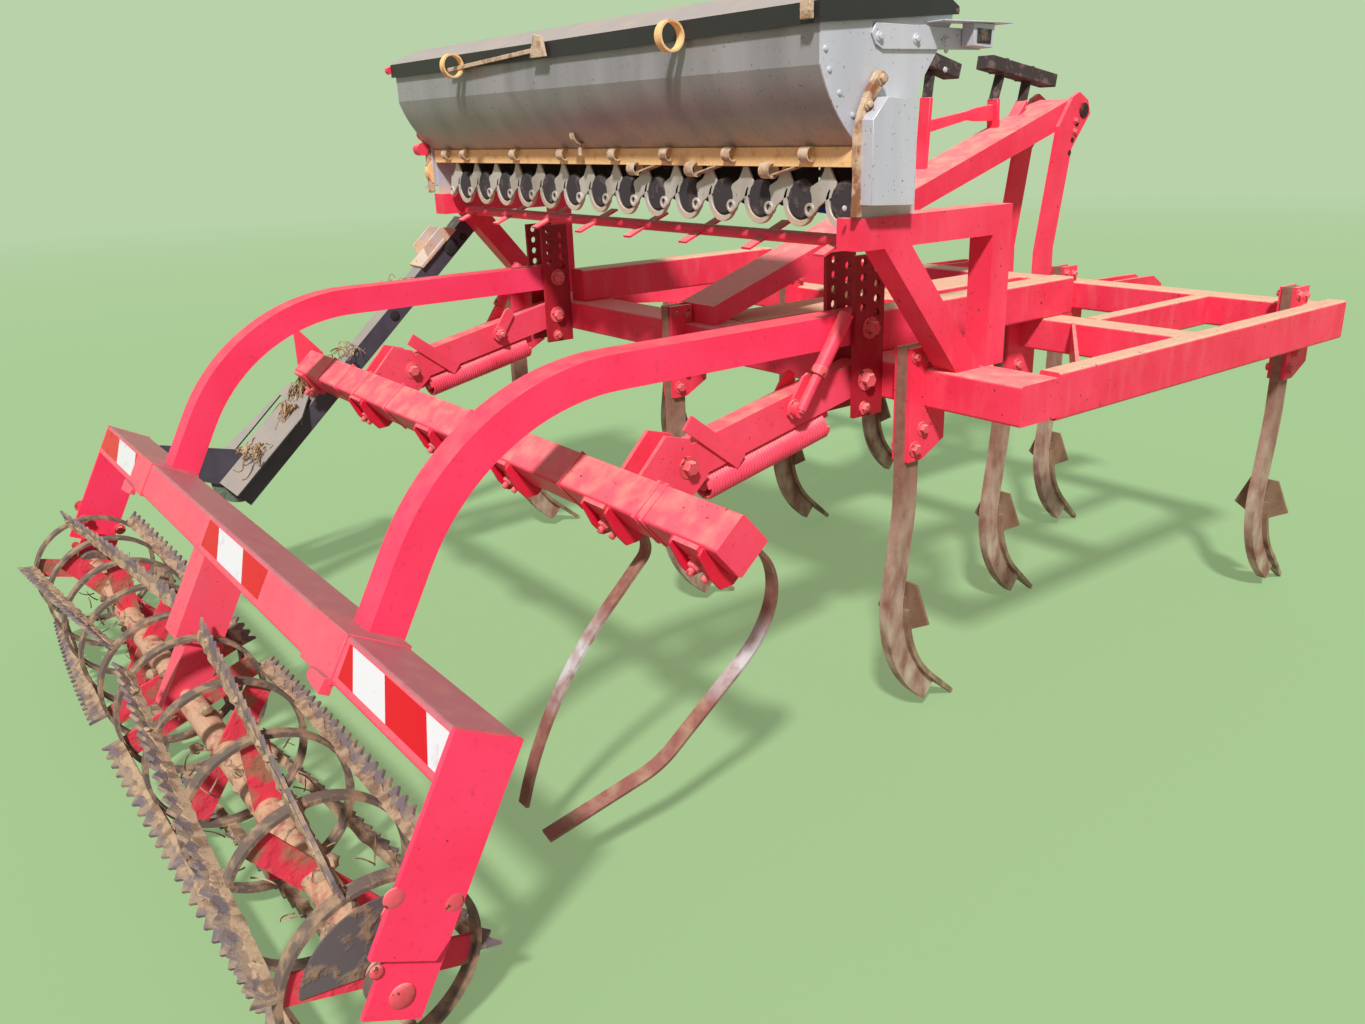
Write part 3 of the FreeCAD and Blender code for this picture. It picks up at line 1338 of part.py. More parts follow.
def build_case():
    """Long slotted channel for the seeder's drive chain, with a broad cover, on a roller bracket."""
    rise, run = d.case_top_z - d.case_low_z, d.case_top_y - d.case_low_y
    length = root(rise * rise + run * run)
    lean = slope(rise, run)
    case = pad("CaseBox", rectangle(length, d.case_depth, None, length / 2, 0), d.case_width)
    slot = place(pad("CaseSlot", rectangle(d.case_slot_length, d.case_slot_width, None,
                                           d.case_slot_start + d.case_slot_length / 2, 0),
                     d.case_width), -d.case_sheet)
    channel = cut("CaseChannel", case, slot)
    placed = group("Case", [channel, case_cover()], -case_offset, d.case_low_y, d.case_low_z, lean)
    finish(fuse("CaseWithPlate", [placed, case_bracket(-case_offset, lean)]), "drive_case")


def case_cover():
    """Slotted cover plate that lies slantwise over the low half of the case, on a rib.

    Its upper corner is nipped off where the harrow bar's end swings past.
    """
    half = d.cover_width / 2
    outline = [corner(-half, 0), corner(half, 0), corner(half, d.cover_length - d.cover_nip_length),
               corner(half - d.cover_nip_width, d.cover_length),
               corner(-half + d.cover_taper, d.cover_length)]
    plate = pad("CoverPlate", outline, d.cover_thickness, plane="XY_Plane")
    slot = pad("CoverSlot", rectangle(d.cover_slot_width, d.cover_slot_length, None,
                                      -d.cover_slot_shift, d.cover_length / 2),
               2 * d.cover_thickness, plane="XY_Plane")
    slotted = cut("CoverSlotted", plate, slot)
    top = d.case_depth / 2
    cover = group("Cover", [slotted], -d.cover_shift, 0, top + d.cover_rise, d.cover_angle,
                  Vector(0, 1, 0))
    rib_height = d.cover_rise - d.cover_shift * sin(d.cover_angle) / cos(d.cover_angle)
    rib = box("CoverRib", 2 * d.cover_thickness, d.cover_length, rib_height, 0, d.cover_length / 2, top)
    return fuse("CoverWithRib", [cover, rib])


def case_bracket(case_x, lean):
    """Plate from the case's outer side up to the front face of the roller beam."""
    half = d.roller_beam_width / 2
    near_y = d.case_low_y + d.case_plate_start * cos(lean)
    near_z = d.case_low_z + d.case_plate_start * sin(lean)
    far_y = near_y + d.case_plate_length * cos(lean)
    far_z = near_z + d.case_plate_length * sin(lean)
    plate = pad("CasePlate", [corner(near_y, near_z), corner(far_y, far_z),
                              corner(*beam_spot(half, as_size(0))),
                              corner(*beam_spot(half, -d.roller_beam_height))], d.case_plate)
    return place(plate, case_x - (d.case_width + d.case_plate) / 2)


def main():
    """Build every sub-part, check it and write its file."""
    for build in (build_cross_beams, build_long_beams, build_gussets, build_tines, build_arm_plates,
                  build_roller_arms, build_roller_beam, build_harrow_bar, build_harrow_arms,
                  build_lugs, build_springs, build_rods, build_clamps, build_spring_tines,
                  build_hopper, build_lid, build_rail_and_units, build_stands, build_spreader,
                  build_headstock, build_hitch, build_case):
        build()
    for side, name in ((1, "right"), (-1, "left")):
        build_cage(side, name)
    document.recompute()
    failed = [item.Name for item in document.Objects
              if "Invalid" in item.State or "Error" in item.State]
    if failed:
        raise SystemExit(f"failed features: {failed}")
    os.makedirs("parts", exist_ok=True)
    for label, item in nodes.items():
        shape = item.Shape
        if shape.isNull() or not shape.isValid() or not shape.Solids:
            raise SystemExit(f"bad shape: {label}")
        shape.exportStep(f"parts/{label}.step")
        box_size = shape.BoundBox
        print(f"{label}: {len(shape.Solids)} solids, Y {box_size.YMin:.0f}..{box_size.YMax:.0f}, "
              f"Z {box_size.ZMin:.0f}..{box_size.ZMax:.0f}")


main()
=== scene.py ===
# %% [markdown]
# # A field cultivator with spring harrow, cage roller and seed box
# The machine's solids come from the CAD model, already in metres and in place. This script gives
# them their finishes, adds what is too fine for the CAD, and sets the camera and the light.
# First come the tools and the frame that everything is measured from.

import math

import bmesh
import bpy
import numpy as np
from mathutils import Matrix, Vector


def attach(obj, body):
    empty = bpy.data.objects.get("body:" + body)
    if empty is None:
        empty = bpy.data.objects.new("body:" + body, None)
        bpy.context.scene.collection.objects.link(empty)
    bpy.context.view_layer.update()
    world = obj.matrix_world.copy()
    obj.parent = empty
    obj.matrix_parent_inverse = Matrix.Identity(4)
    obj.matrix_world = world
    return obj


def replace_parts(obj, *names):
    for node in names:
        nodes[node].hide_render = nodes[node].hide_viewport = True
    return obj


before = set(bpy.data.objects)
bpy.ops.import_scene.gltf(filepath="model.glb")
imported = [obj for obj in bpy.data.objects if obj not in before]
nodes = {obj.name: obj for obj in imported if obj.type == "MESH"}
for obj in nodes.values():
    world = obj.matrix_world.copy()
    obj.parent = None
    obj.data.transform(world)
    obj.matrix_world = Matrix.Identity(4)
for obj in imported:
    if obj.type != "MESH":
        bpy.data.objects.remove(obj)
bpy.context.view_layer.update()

# %% [markdown]
# ## Camera
# The machine is seen from behind its right-hand corner, from about head height, so the camera
# looks forwards, to the left and a little down. Three directions describe it: where it looks,
# its right hand and its own upward direction. They are the columns of its matrix.

# %% Camera
SENSOR_WIDTH = 36.0
LENS = 29.071648
CAMERA_PLACE = (2.808, -2.193, 1.6)
# How far it is turned left, tipped down and rolled.
CAMERA_TURNS = [math.radians(turn) for turn in (53.336, 19.30, -1.911)]


def in_scene(name, data):
    """A new object that carries some data, linked into the scene."""
    thing = bpy.data.objects.new(name, data)
    bpy.context.scene.collection.objects.link(thing)
    return thing


def camera_matrix(place, yaw, pitch, roll):
    """Matrix of a camera that looks along +Y, is turned left and tipped down, and then rolled.

    Each turn replaces two directions by their sums, weighted with its cosine and its sine.
    """
    ahead = np.array([-math.sin(yaw), math.cos(yaw), 0.0])
    right = np.array([math.cos(yaw), math.sin(yaw), 0.0])
    up = np.array([0.0, 0.0, 1.0])
    look = math.cos(pitch) * ahead - math.sin(pitch) * up
    lifted = math.sin(pitch) * ahead + math.cos(pitch) * up
    columns = np.stack([
        math.cos(roll) * right + math.sin(roll) * lifted,
        -math.sin(roll) * right + math.cos(roll) * lifted,
        -look,
    ], axis=1)
    matrix = np.eye(4)
    matrix[:3, :3] = columns
    matrix[:3, 3] = place
    return Matrix(matrix.tolist())


camera_data = bpy.data.cameras.new("ViewCamera")
camera_data.sensor_width = SENSOR_WIDTH
camera_data.lens = LENS
camera = in_scene("ViewCamera", camera_data)
camera.matrix_world = camera_matrix(CAMERA_PLACE, *CAMERA_TURNS)
bpy.context.scene.camera = camera
print("lens", round(camera_data.lens, 2), "mm")

# %% [markdown]
# ## Colours
# A colour picker gives values from 0 to 255 in display space, while shaders work in linear light.
# One small formula turns the first into the second, so every colour below can be written plainly.

# %% Colour helper


def paint(red, green, blue):
    """Linear colour of a display colour: values above 0.04 follow ((c + 0.055) / 1.055) ^ 2.4."""
    share = np.array([red, green, blue]) / 255.0
    linear = np.where(share > 0.04045, ((share + 0.055) / 1.055) ** 2.4, share / 12.92)
    return (*linear.tolist(), 1.0)


print("middle grey in linear light", round(paint(128, 128, 128)[0], 3))

# %% [markdown]
# ## Node helpers
# The sky and every material are trees of nodes. These helpers add a node, feed its inputs with
# plain values or with other nodes, and mix two colours or two shaders.

# %% Node helpers


def feed(tree, socket, value):
    """Link a node's output to a socket, or write a plain value on it."""
    if isinstance(value, bpy.types.NodeSocket):
        tree.links.new(value, socket)
    else:
        socket.default_value = value


def add_node(tree, kind, **values):
    """A new node whose named inputs are fed; an underscore in a name stands for a space."""
    node = tree.nodes.new(kind)
    for name, value in values.items():
        feed(tree, node.inputs[name.replace("_", " ")], value)
    return node


def maths(tree, operation, first, second):
    """One operation on two values, kept between 0 and 1."""
    step = tree.nodes.new("ShaderNodeMath")
    step.operation = operation
    step.use_clamp = True
    feed(tree, step.inputs[0], first)
    feed(tree, step.inputs[1], second)
    return step.outputs[0]


def length_of(tree, vector):
    """Length of a vector: the root of the sum of its squares."""
    measure = tree.nodes.new("ShaderNodeVectorMath")
    measure.operation = "LENGTH"
    tree.links.new(vector, measure.inputs[0])
    return measure.outputs["Value"]


def colour_mix(tree, mask, below, above):
    """Colour below where the mask is 0 and above where it is 1."""
    blend = tree.nodes.new("ShaderNodeMix")
    blend.data_type = "RGBA"
    for name, value in (("Factor", mask), ("A", below), ("B", above)):
        feed(tree, blend.inputs[name], value)
    return blend.outputs["Result"]


def shader_mix(tree, share, below, above):
    """Shader below where the share is 0 and above where it is 1."""
    blend = tree.nodes.new("ShaderNodeMixShader")
    for socket, value in zip(blend.inputs, (share, below, above)):
        feed(tree, socket, value)
    return blend.outputs[0]


def looking_rays(tree):
    """1 for rays that look, from the camera, off gloss or through glass: the largest of three."""
    path = tree.nodes.new("ShaderNodeLightPath")
    looked_at = path.outputs["Is Camera Ray"]
    for ray in ("Is Glossy Ray", "Is Transmission Ray"):
        looked_at = maths(tree, "MAXIMUM", looked_at, path.outputs[ray])
    return looked_at


# %% [markdown]
# ## Sun and sky
# One sun from behind the camera gives the bright sides, and an even sky fills the shadows. The sky
# that gives this light is neutral. Only rays that look meet the pale green one, so it tints no
# dull face.

# %% Sun and sky
SKY_PALE = paint(185, 210, 170)
SKY_FILL, FILL_STRENGTH = paint(236, 240, 246), 0.42
SUN_STRENGTH, SUN_SPREAD = 4.3, math.radians(5)
SUN_AZIMUTH, SUN_HEIGHT = math.radians(-45), math.radians(48)

sun_data = bpy.data.lights.new("SoftSun", "SUN")
sun_data.energy = SUN_STRENGTH
sun_data.angle = SUN_SPREAD
sun = in_scene("SoftSun", sun_data)
to_sun = Vector((math.cos(SUN_HEIGHT) * math.cos(SUN_AZIMUTH),
                 math.cos(SUN_HEIGHT) * math.sin(SUN_AZIMUTH), math.sin(SUN_HEIGHT)))
sun.matrix_world = to_sun.to_track_quat("Z", "Y").to_matrix().to_4x4()

world = bpy.data.worlds.new("EvenSky")
bpy.context.scene.world = world
world.use_nodes = True
sky = world.node_tree
sky.nodes.clear()
fill = add_node(sky, "ShaderNodeBackground", Color=SKY_FILL, Strength=FILL_STRENGTH)
seen = add_node(sky, "ShaderNodeBackground", Color=SKY_PALE, Strength=1.0)
sky_shader = shader_mix(sky, looking_rays(sky), fill.outputs[0], seen.outputs[0])
sky_out = sky.nodes.new("ShaderNodeOutputWorld")
sky.links.new(sky_shader, sky_out.inputs[0])
bpy.context.scene.view_settings.view_transform = "Standard"
print("sun from", tuple(round(v, 2) for v in to_sun))

# %% [markdown]
# ## Floor
# The floor is a pale plain that glows a little, which keeps the shadows on it soft. Its glow turns
# to the sky's colour and grows with the distance from the machine, so floor and sky run together.
# The light that it throws back on the machine's dull faces is that of plain dry soil.

# %% Floor
FLOOR_HALF = 60.0
FLOOR_GREEN, GLOW_GREEN = paint(154, 184, 134), paint(160, 194, 139)
BOUNCE_SOIL = paint(150, 138, 128)
FADE_START, FADE_END = 2.5, 22.0
GLOW_NEAR = 0.5

corners = FLOOR_HALF * np.array([(-1, -1, 0), (1, -1, 0), (1, 1, 0), (-1, 1, 0)])
floor_mesh = bpy.data.meshes.new("Floor")
floor_mesh.from_pydata(corners.tolist(), [], [(0, 1, 2, 3)])
in_scene("Floor", floor_mesh)
floor_finish = bpy.data.materials.new("PaleFloor")
floor_finish.use_nodes = True
ground = floor_finish.node_tree
dull = ground.nodes["Principled BSDF"]
dull.inputs["Base Color"].default_value = FLOOR_GREEN
dull.inputs["Roughness"].default_value = 0.9
dull.inputs["Specular IOR Level"].default_value = 0.1
place = ground.nodes.new("ShaderNodeTexCoord")
fade = add_node(ground, "ShaderNodeMapRange", Value=length_of(ground, place.outputs["Object"]),
                From_Min=FADE_START, From_Max=FADE_END).outputs["Result"]
glow_share = add_node(ground, "ShaderNodeMapRange", Value=fade, To_Min=GLOW_NEAR).outputs["Result"]
glow = add_node(ground, "ShaderNodeEmission", Color=colour_mix(ground, fade, GLOW_GREEN, SKY_PALE))
bounce = add_node(ground, "ShaderNodeBsdfDiffuse", Color=BOUNCE_SOIL)
plain = shader_mix(ground, glow_share, dull.outputs[0], glow.outputs[0])
floor_shader = shader_mix(ground, looking_rays(ground), bounce.outputs[0], plain)
ground.links.new(floor_shader, ground.nodes["Material Output"].inputs["Surface"])
floor_mesh.materials.append(floor_finish)
print("floor", 2 * FLOOR_HALF, "m wide")

# %% [markdown]
# ## How the finishes are made
# Every finish is built from the same few moves: a mask from noise or from which way a face looks,
# a mix of two colours through that mask, and a bump. All of them read object coordinates, which
# here are metres of the real machine, so a noise scale of 20 makes patches of about 5 cm.
# A small class keeps the node tree and offers those moves as short methods.

# %% Finish builder


class Finish:
    """A material under construction: most methods add nodes and return a socket."""

    def __init__(self, name, roughness, metallic=0.0):
        self.material = bpy.data.materials.new(name)
        self.material.use_nodes = True
        self.tree = self.material.node_tree
        self.shader = self.tree.nodes["Principled BSDF"]
        self.shader.inputs["Roughness"].default_value = roughness
        self.shader.inputs["Metallic"].default_value = metallic
        self.place = self.tree.nodes.new("ShaderNodeTexCoord")
        print("finish", name)

    def add(self, kind, **values):
        """A new node of this material."""
        return add_node(self.tree, kind, **values)

    def stretched(self, stretch):
        """Object coordinates multiplied along each axis."""
        mapping = self.add("ShaderNodeMapping", Vector=self.place.outputs["Object"], Scale=stretch)
        return mapping.outputs["Vector"]

    def between(self, value, low, high, top=1.0):
        """0 below low, top above high, and an even rise between."""
        clip = self.add("ShaderNodeMapRange", Value=value, From_Min=low, From_Max=high, To_Max=top)
        return clip.outputs["Result"]

    def patches(self, scale, low, high, top=1.0, stretch=(1, 1, 1), detail=5.0):
        """Cloudy patches; low and high say how much of the surface they take."""
        noise = self.add("ShaderNodeTexNoise", Vector=self.stretched(stretch), Scale=scale, Detail=detail)
        return self.between(noise.outputs["Fac"], low, high, top)

    def coordinate(self, output, axis, low, high):
        """One coordinate (0, 1 or 2) of a vector, as a share of the way from low to high."""
        split = self.add("ShaderNodeSeparateXYZ", Vector=self.place.outputs[output])
        return self.between(split.outputs[axis], low, high)

    def facing_up(self, low, high):
        """How far a face of the piece looks up."""
        return self.coordinate("Normal", 2, low, high)

    def height(self, low, high):
        """How high a point lies, from low to high in metres."""
        return self.coordinate("Object", 2, low, high)

    def from_axis(self, y, z, low, high):
        """How far a point lies from a line along X through y and z, from low to high in metres."""
        moved = self.add("ShaderNodeMapping", Vector=self.place.outputs["Object"],
                         Location=(0.0, -y, -z), Scale=(0.0, 1.0, 1.0))
        return self.between(length_of(self.tree, moved.outputs["Vector"]), low, high)

    def times(self, first, second):
        """Product of two masks."""
        return maths(self.tree, "MULTIPLY", first, second)

    def rest_of(self, mask):
        """The mask turned round: 1 less the mask."""
        return maths(self.tree, "SUBTRACT", 1.0, mask)

    def mix(self, mask, below, above):
        """Colour below where the mask is 0 and above where it is 1."""
        return colour_mix(self.tree, mask, below, above)

    def colour(self, output):
        """Give the surface its colour."""
        self.tree.links.new(output, self.shader.inputs["Base Color"])

    def rough(self, mask, smooth, coarse):
        """Roughness that goes from smooth to coarse through a mask."""
        scaled = self.add("ShaderNodeMapRange", Value=mask, To_Min=smooth, To_Max=coarse)
        self.tree.links.new(scaled.outputs["Result"], self.shader.inputs["Roughness"])

    def raised(self, height, distance, strength):
        """Raise the surface by a height map, distance in metres, and hand the material over."""
        bump = self.add("ShaderNodeBump", Height=height, Distance=distance, Strength=strength)
        self.tree.links.new(bump.outputs["Normal"], self.shader.inputs["Normal"])
        return self.material


# %% [markdown]
# ## Red paint
# The frame's red has faded towards pink in the sun. Dust lies on what faces up, the paint is a
# little cloudy, and chips show brown rust. The dust is a mask of two things multiplied: how far a
# face looks up, and patches of noise.

# %% Red paints
DUST_TAN = paint(214, 180, 146)
RUST_BROWN = paint(104, 58, 38)
SCUFF_DARK = paint(186, 52, 62)
FADED_PINK = (246, 122, 132)


def red_paint(name, base, deep, faded, dust=0.4, chips=0.70, dust_low=0.42):
    """Clouded red, faded above, with patches of dust above dust_low and a few rust chips."""
    red = Finish(name, 0.5)
    red.shader.inputs["Specular IOR Level"].default_value = 0.25
    cloudy = red.mix(red.patches(5.0, 0.35, 0.7), paint(*base), paint(*deep))
    streaks = red.patches(26.0, 0.52, 0.8, 0.22, stretch=(1, 1, 0.25))
    worn = red.mix(streaks, cloudy, paint(*faded))
    upward = red.facing_up(0.3, 0.85)
    bleached = red.mix(upward, worn, paint(*faded))
    settled = red.times(upward, red.patches(20.0, dust_low, dust_low + 0.3, dust))
    dusty = red.mix(settled, bleached, DUST_TAN)
    scuffed = red.patches(58.0, 0.60, 0.74, 0.35)
    scraped = red.mix(scuffed, dusty, SCUFF_DARK)
    chipped = red.patches(75.0, chips, chips + 0.03)
    red.colour(red.mix(chipped, scraped, RUST_BROWN))
    red.rough(settled, 0.45, 0.85)
    return red.raised(red.patches(140.0, 0.2, 0.8), 0.0006, 0.3)


FRAME_RED = red_paint("FrameRed", (248, 70, 96), (236, 48, 76), (243, 122, 128), dust=0.6, chips=0.685)
DUSTY_RED = red_paint("DustyRed", (246, 68, 94), (232, 46, 74), (232, 150, 140), dust=0.9, chips=0.685,
                      dust_low=0.2)
# The perforated arm plates get a darker red, which is painted shade: the seed box shades them.
PLATE_RED_PAINTED_SHADE = red_paint("PlateRedPaintedShade", (176, 34, 50), (140, 22, 36), (190, 70, 74), dust=0.3, chips=0.66)
ARM_RED = red_paint("ArmRed", (252, 66, 104), (250, 54, 90), (240, 66, 94), dust=0.15, chips=0.72)
HARROW_RED = red_paint("HarrowRed", (246, 78, 102), (234, 60, 84), (232, 98, 110), dust=0.45, chips=0.69)
ROLLER_BEAM_RED = red_paint("RollerBeamRed", (250, 78, 102), (246, 90, 108), (176, 102, 110), dust=0.15,
                            chips=0.72)

# %% [markdown]
# ## Grey sheet and dry soil
# The seed box is grey sheet with darker runs, and tan dust along its bottom edge. Its lid is pale
# with dust where it faces up, and painted shade, near black, on its lip and the faces that don't look
# up. The drive's long cover is dark on the faces that don't look up and pale where they do. The rail
# under the box is almost hidden by dust, painted paler as painted light, since it lies in the seed
# box's shadow. The cage wears a patchy coat of clay.

# %% Grey finishes


def grey_sheet(name, pale, dark, dust_low, dust_high):
    """Cloudy grey with runs down the wall, and dust that thickens towards the bottom edge."""
    grey = Finish(name, 0.48, 0.15)
    runs = grey.patches(9.0, 0.3, 0.72, stretch=(1, 1, 0.12))
    cloudy = grey.mix(runs, paint(*pale), paint(*dark))
    bottom = grey.rest_of(grey.height(dust_low, dust_high))
    settled = grey.times(bottom, grey.patches(22.0, 0.2, 0.6, 0.9))
    dusty = grey.mix(settled, cloudy, DUST_TAN)
    spots = grey.patches(120.0, 0.66, 0.7, 0.8)
    grey.colour(grey.mix(spots, dusty, paint(96, 80, 66)))
    grey.rough(settled, 0.42, 0.85)
    return grey.raised(grey.patches(40.0, 0.2, 0.8), 0.0008, 0.25)


def two_sided(name, low, high, below, above):
    """Sheet whose colour turns from below to above with how far a face looks up."""
    sheet = Finish(name, 0.55, 0.1)
    # On the lid the colour below is painted shade: its rear lip and the faces under it are painted near
    # black.
    shade_and_stains = sheet.mix(sheet.patches(14.0, 0.4, 0.75, 0.6), paint(*below), paint(52, 46, 50))
    dusty = sheet.mix(sheet.patches(9.0, 0.4, 0.8, 0.3), paint(*above), DUST_TAN)
    sheet.colour(sheet.mix(sheet.facing_up(low, high), shade_and_stains, dusty))
    return sheet.raised(sheet.patches(60.0, 0.2, 0.8), 0.0008, 0.3)


def dusty_finish(name, under, over, share, lump=0.003):
    """A surface under a patchy coat of dry soil, with lumps."""
    soil = Finish(name, 0.9)
    coat = soil.patches(26.0, 0.62 - share * 0.4, 0.72 - share * 0.3, detail=8.0)
    grain = soil.mix(soil.patches(120.0, 0.35, 0.85, 0.45), paint(*over), paint(*under))
    soil.colour(soil.mix(coat, paint(*under), grain))
    return soil.raised(coat, lump, 0.8)


TROUGH_GREY = grey_sheet("TroughGrey", (164, 158, 160), (138, 134, 136), 1.53, 1.62)
END_GREY = grey_sheet("EndGrey", (208, 207, 213), (190, 190, 199), 1.39, 1.44)
# The lid's near-black colour below is painted shade; its pale top is dust.
LID_DARK = two_sided("LidDark", 0.2, 0.6, (44, 40, 43), (168, 154, 154))
DRIVE_GREY = two_sided("DriveGrey", 0.15, 0.5, (78, 74, 88), (150, 143, 137))
# The rail's dust is painted paler than it is: painted light, since the rail lies in the seed box's shadow.
RAIL_DUST_PAINTED_LIGHT = dusty_finish("RailDustPaintedLight", (206, 152, 98), (250, 204, 140), 0.95, lump=0.001)
HOOP_SOIL = dusty_finish("HoopSoil", (104, 88, 78), (152, 122, 96), 0.4)
SHAFT_SOIL = dusty_finish("ShaftSoil", (160, 92, 76), (196, 158, 126), 0.75)

# %% [markdown]
# ## Hoops and spokes
# The CAD keeps each cage's hoops and spokes in one node. The hoops are soiled steel and the spokes
# red paint under clay, so one finish holds both: the distance from the axis tells them apart.

# %% Hoop and spoke finish
HOOP_AXIS = (-1.7042, 0.230)
SPOKE_END, RIM_START = 0.166, 0.172


def hoop_and_spoke(name):
    """Soiled steel at the hoop, and red paint under patchy clay on the spokes inside it."""
    wheel = Finish(name, 0.85)
    clay = wheel.patches(26.0, 0.46, 0.6, detail=8.0)
    rim = wheel.mix(clay, paint(104, 88, 78), paint(156, 126, 100))
    spoke = wheel.mix(wheel.patches(15.0, 0.50, 0.62), paint(226, 56, 76), paint(166, 108, 84))
    wheel.colour(wheel.mix(wheel.from_axis(*HOOP_AXIS, SPOKE_END, RIM_START), spoke, rim))
    return wheel.raised(clay, 0.002, 0.8)


HOOP_AND_SPOKE = hoop_and_spoke("HoopAndSpoke")

# %% [markdown]
# ## Bare steel
# Steel that works in the soil has two looks: brown where soil dried on it, and bright where the
# soil polished it last. Streaks follow the shank, so the noise is stretched along Z. The pale band
# on the spring tines is a painted highlight.

# %% Bare steels


def worn_steel(name, bright, brown, polish_low, polish_high, metallic):
    """Brown steel that is polished bright between two heights, streaked lengthwise."""
    steel = Finish(name, 0.5, metallic)
    streaks = steel.patches(22.0, 0.34, 0.72, stretch=(1, 1, 0.5), detail=7.0)
    near_soil = steel.rest_of(steel.height(polish_low, polish_high))
    polished = steel.times(near_soil, streaks)
    dull_brown = steel.mix(steel.patches(44.0, 0.4, 0.75, 0.6), paint(*brown), paint(104, 74, 62))
    steel.colour(steel.mix(polished, dull_brown, paint(*bright)))
    steel.rough(polished, 0.62, 0.38)
    return steel.raised(steel.patches(110.0, 0.3, 0.8), 0.0008, 0.5)


def sprung_steel(name):
    """Red-brown spring steel with a painted highlight: a patchy pale band about 0.4 to 0.55 m up."""
    steel = Finish(name, 0.45, 0.2)
    # The pale band is a painted highlight on the curve of the tine, where the steel is also smoother.
    painted_highlight_band = steel.times(steel.height(0.36, 0.44), steel.rest_of(steel.height(0.50, 0.58)))
    bright = steel.times(painted_highlight_band, steel.patches(20.0, 0.3, 0.55))
    dull_red = steel.mix(steel.patches(24.0, 0.45, 0.72), paint(142, 88, 80), paint(168, 132, 108))
    steel.colour(steel.mix(bright, dull_red, paint(206, 200, 202)))
    steel.rough(bright, 0.6, 0.25)
    return steel.raised(steel.patches(110.0, 0.3, 0.8), 0.0006, 0.4)


SHANK_STEEL = worn_steel("ShankSteel", (200, 182, 160), (152, 106, 90), 0.35, 0.80, 0.15)
POINT_STEEL = worn_steel("PointSteel", (190, 168, 138), (128, 96, 74), 0.10, 0.50, 0.15)
SPRING_TINE_STEEL = sprung_steel("SpringTineSteel")
PIN_STEEL = worn_steel("PinSteel", (168, 160, 152), (120, 96, 80), 0.2, 3.0, 0.6)
TOOTH_STEEL = dusty_finish("ToothSteel", (112, 98, 100), (156, 132, 108), 0.45)
UNIT_BLACK = dusty_finish("UnitBlack", (24, 21, 24), (70, 60, 56), 0.1)
BLACK_STEEL = dusty_finish("BlackSteel", (38, 34, 36), (110, 92, 78), 0.12)

# %% [markdown]
# ## A finish for every CAD node
# One table says which nodes share a finish. A node's old materials are cleared first, so that each
# mesh ends up with one.

# %% Give every CAD node its finish
FINISH_OF = {
    FRAME_RED: ["rear_beam", "frame_gussets", "tine_holders_rear", "tine_holders_middle",
                "tine_holders_front", "hopper_stands", "mast_plates", "mast_brace",
                "hitch_ears", "spreader_pipe"],
    DUSTY_RED: ["middle_beam", "front_beam", "side_beams", "upper_rails", "inner_rails",
                "centre_beam"],
    PLATE_RED_PAINTED_SHADE: ["arm_plates"],
    ARM_RED: ["roller_arms", "roller_end_plates", "roller_bearing_plates"],
    HARROW_RED: ["harrow_bar", "harrow_arms", "harrow_lugs", "harrow_springs", "harrow_rods",
                 "harrow_clamps", "harrow_links", "harrow_spike"],
    ROLLER_BEAM_RED: ["roller_beam", "roller_hanger"],
    TROUGH_GREY: ["hopper_trough"],
    END_GREY: ["hopper_ends"],
    LID_DARK: ["hopper_lid"],
    DRIVE_GREY: ["drive_case"],
    UNIT_BLACK: ["feed_units"],
    RAIL_DUST_PAINTED_LIGHT: ["seed_rail", "lid_latches"],
    SHANK_STEEL: ["tine_shanks_rear", "tine_shanks_middle", "tine_shanks_front"],
    POINT_STEEL: ["tine_points_rear", "tine_points_middle", "tine_points_front"],
    SPRING_TINE_STEEL: ["harrow_tines"],
    PIN_STEEL: ["arm_pivot_pins", "harrow_pivot_pins", "harrow_lug_pins", "lid_pivot_pins",
                "lower_link_pins", "feed_shaft"],
    HOOP_AND_SPOKE: ["roller_hoops_right", "roller_hoops_left"],
    SHAFT_SOIL: ["roller_shaft_right", "roller_shaft_left"],
    HOOP_SOIL: ["roller_end_hubs"],
    TOOTH_STEEL: ["roller_bars_right", "roller_bars_left"],
}


def dress(node_name, finish):
    """Put one finish on a CAD node."""
    materials = nodes[node_name].data.materials
    materials.clear()
    materials.append(finish)


for finish, names in FINISH_OF.items():
    for node_name in names:
        dress(node_name, finish)
undressed = sorted(set(nodes) - {name for names in FINISH_OF.values() for name in names})
print("nodes without a finish:", undressed)

# %% [markdown]
# ## Tools for new surfaces
# A new piece is made of rings of points: a loft joins each ring to the next and closes both ends.
# A bolt, a coil, a bent strap and a plate with a chamfer are all lofts, they only differ in how
# the rings are worked out. The points come as whole arrays, so there is no loop over them.

# %% Loft and mesh


def unit(vector):
    """A direction with length 1: the vector divided by its own length."""
    vector = np.asarray(vector, float)
    return vector / np.linalg.norm(vector, axis=-1, keepdims=True)


class Surfaces:
    """Lofts gathered for one mesh."""

    def __init__(self):
        self.points, self.faces, self.size = [], [], 0

    def loft(self, rings, closed=False):
        """Quads between neighbouring rings; ends get one flat cap, or join up where closed."""
        rings = np.asarray(rings, float)
        count, sides = rings.shape[:2]
        ring, side = np.mgrid[0:count if closed else count - 1, 0:sides]
        after, next_side = (ring + 1) % count, (side + 1) % sides
        quads = np.stack([ring * sides + side, ring * sides + next_side,
                          after * sides + next_side, after * sides + side], axis=-1)
        self.faces += (quads.reshape(-1, 4) + self.size).tolist()
        if not closed:
            first = self.size + np.arange(sides)
            self.faces += [first[::-1].tolist(), (first + (count - 1) * sides).tolist()]
        self.points.append(rings.reshape(-1, 3))
        self.size += count * sides


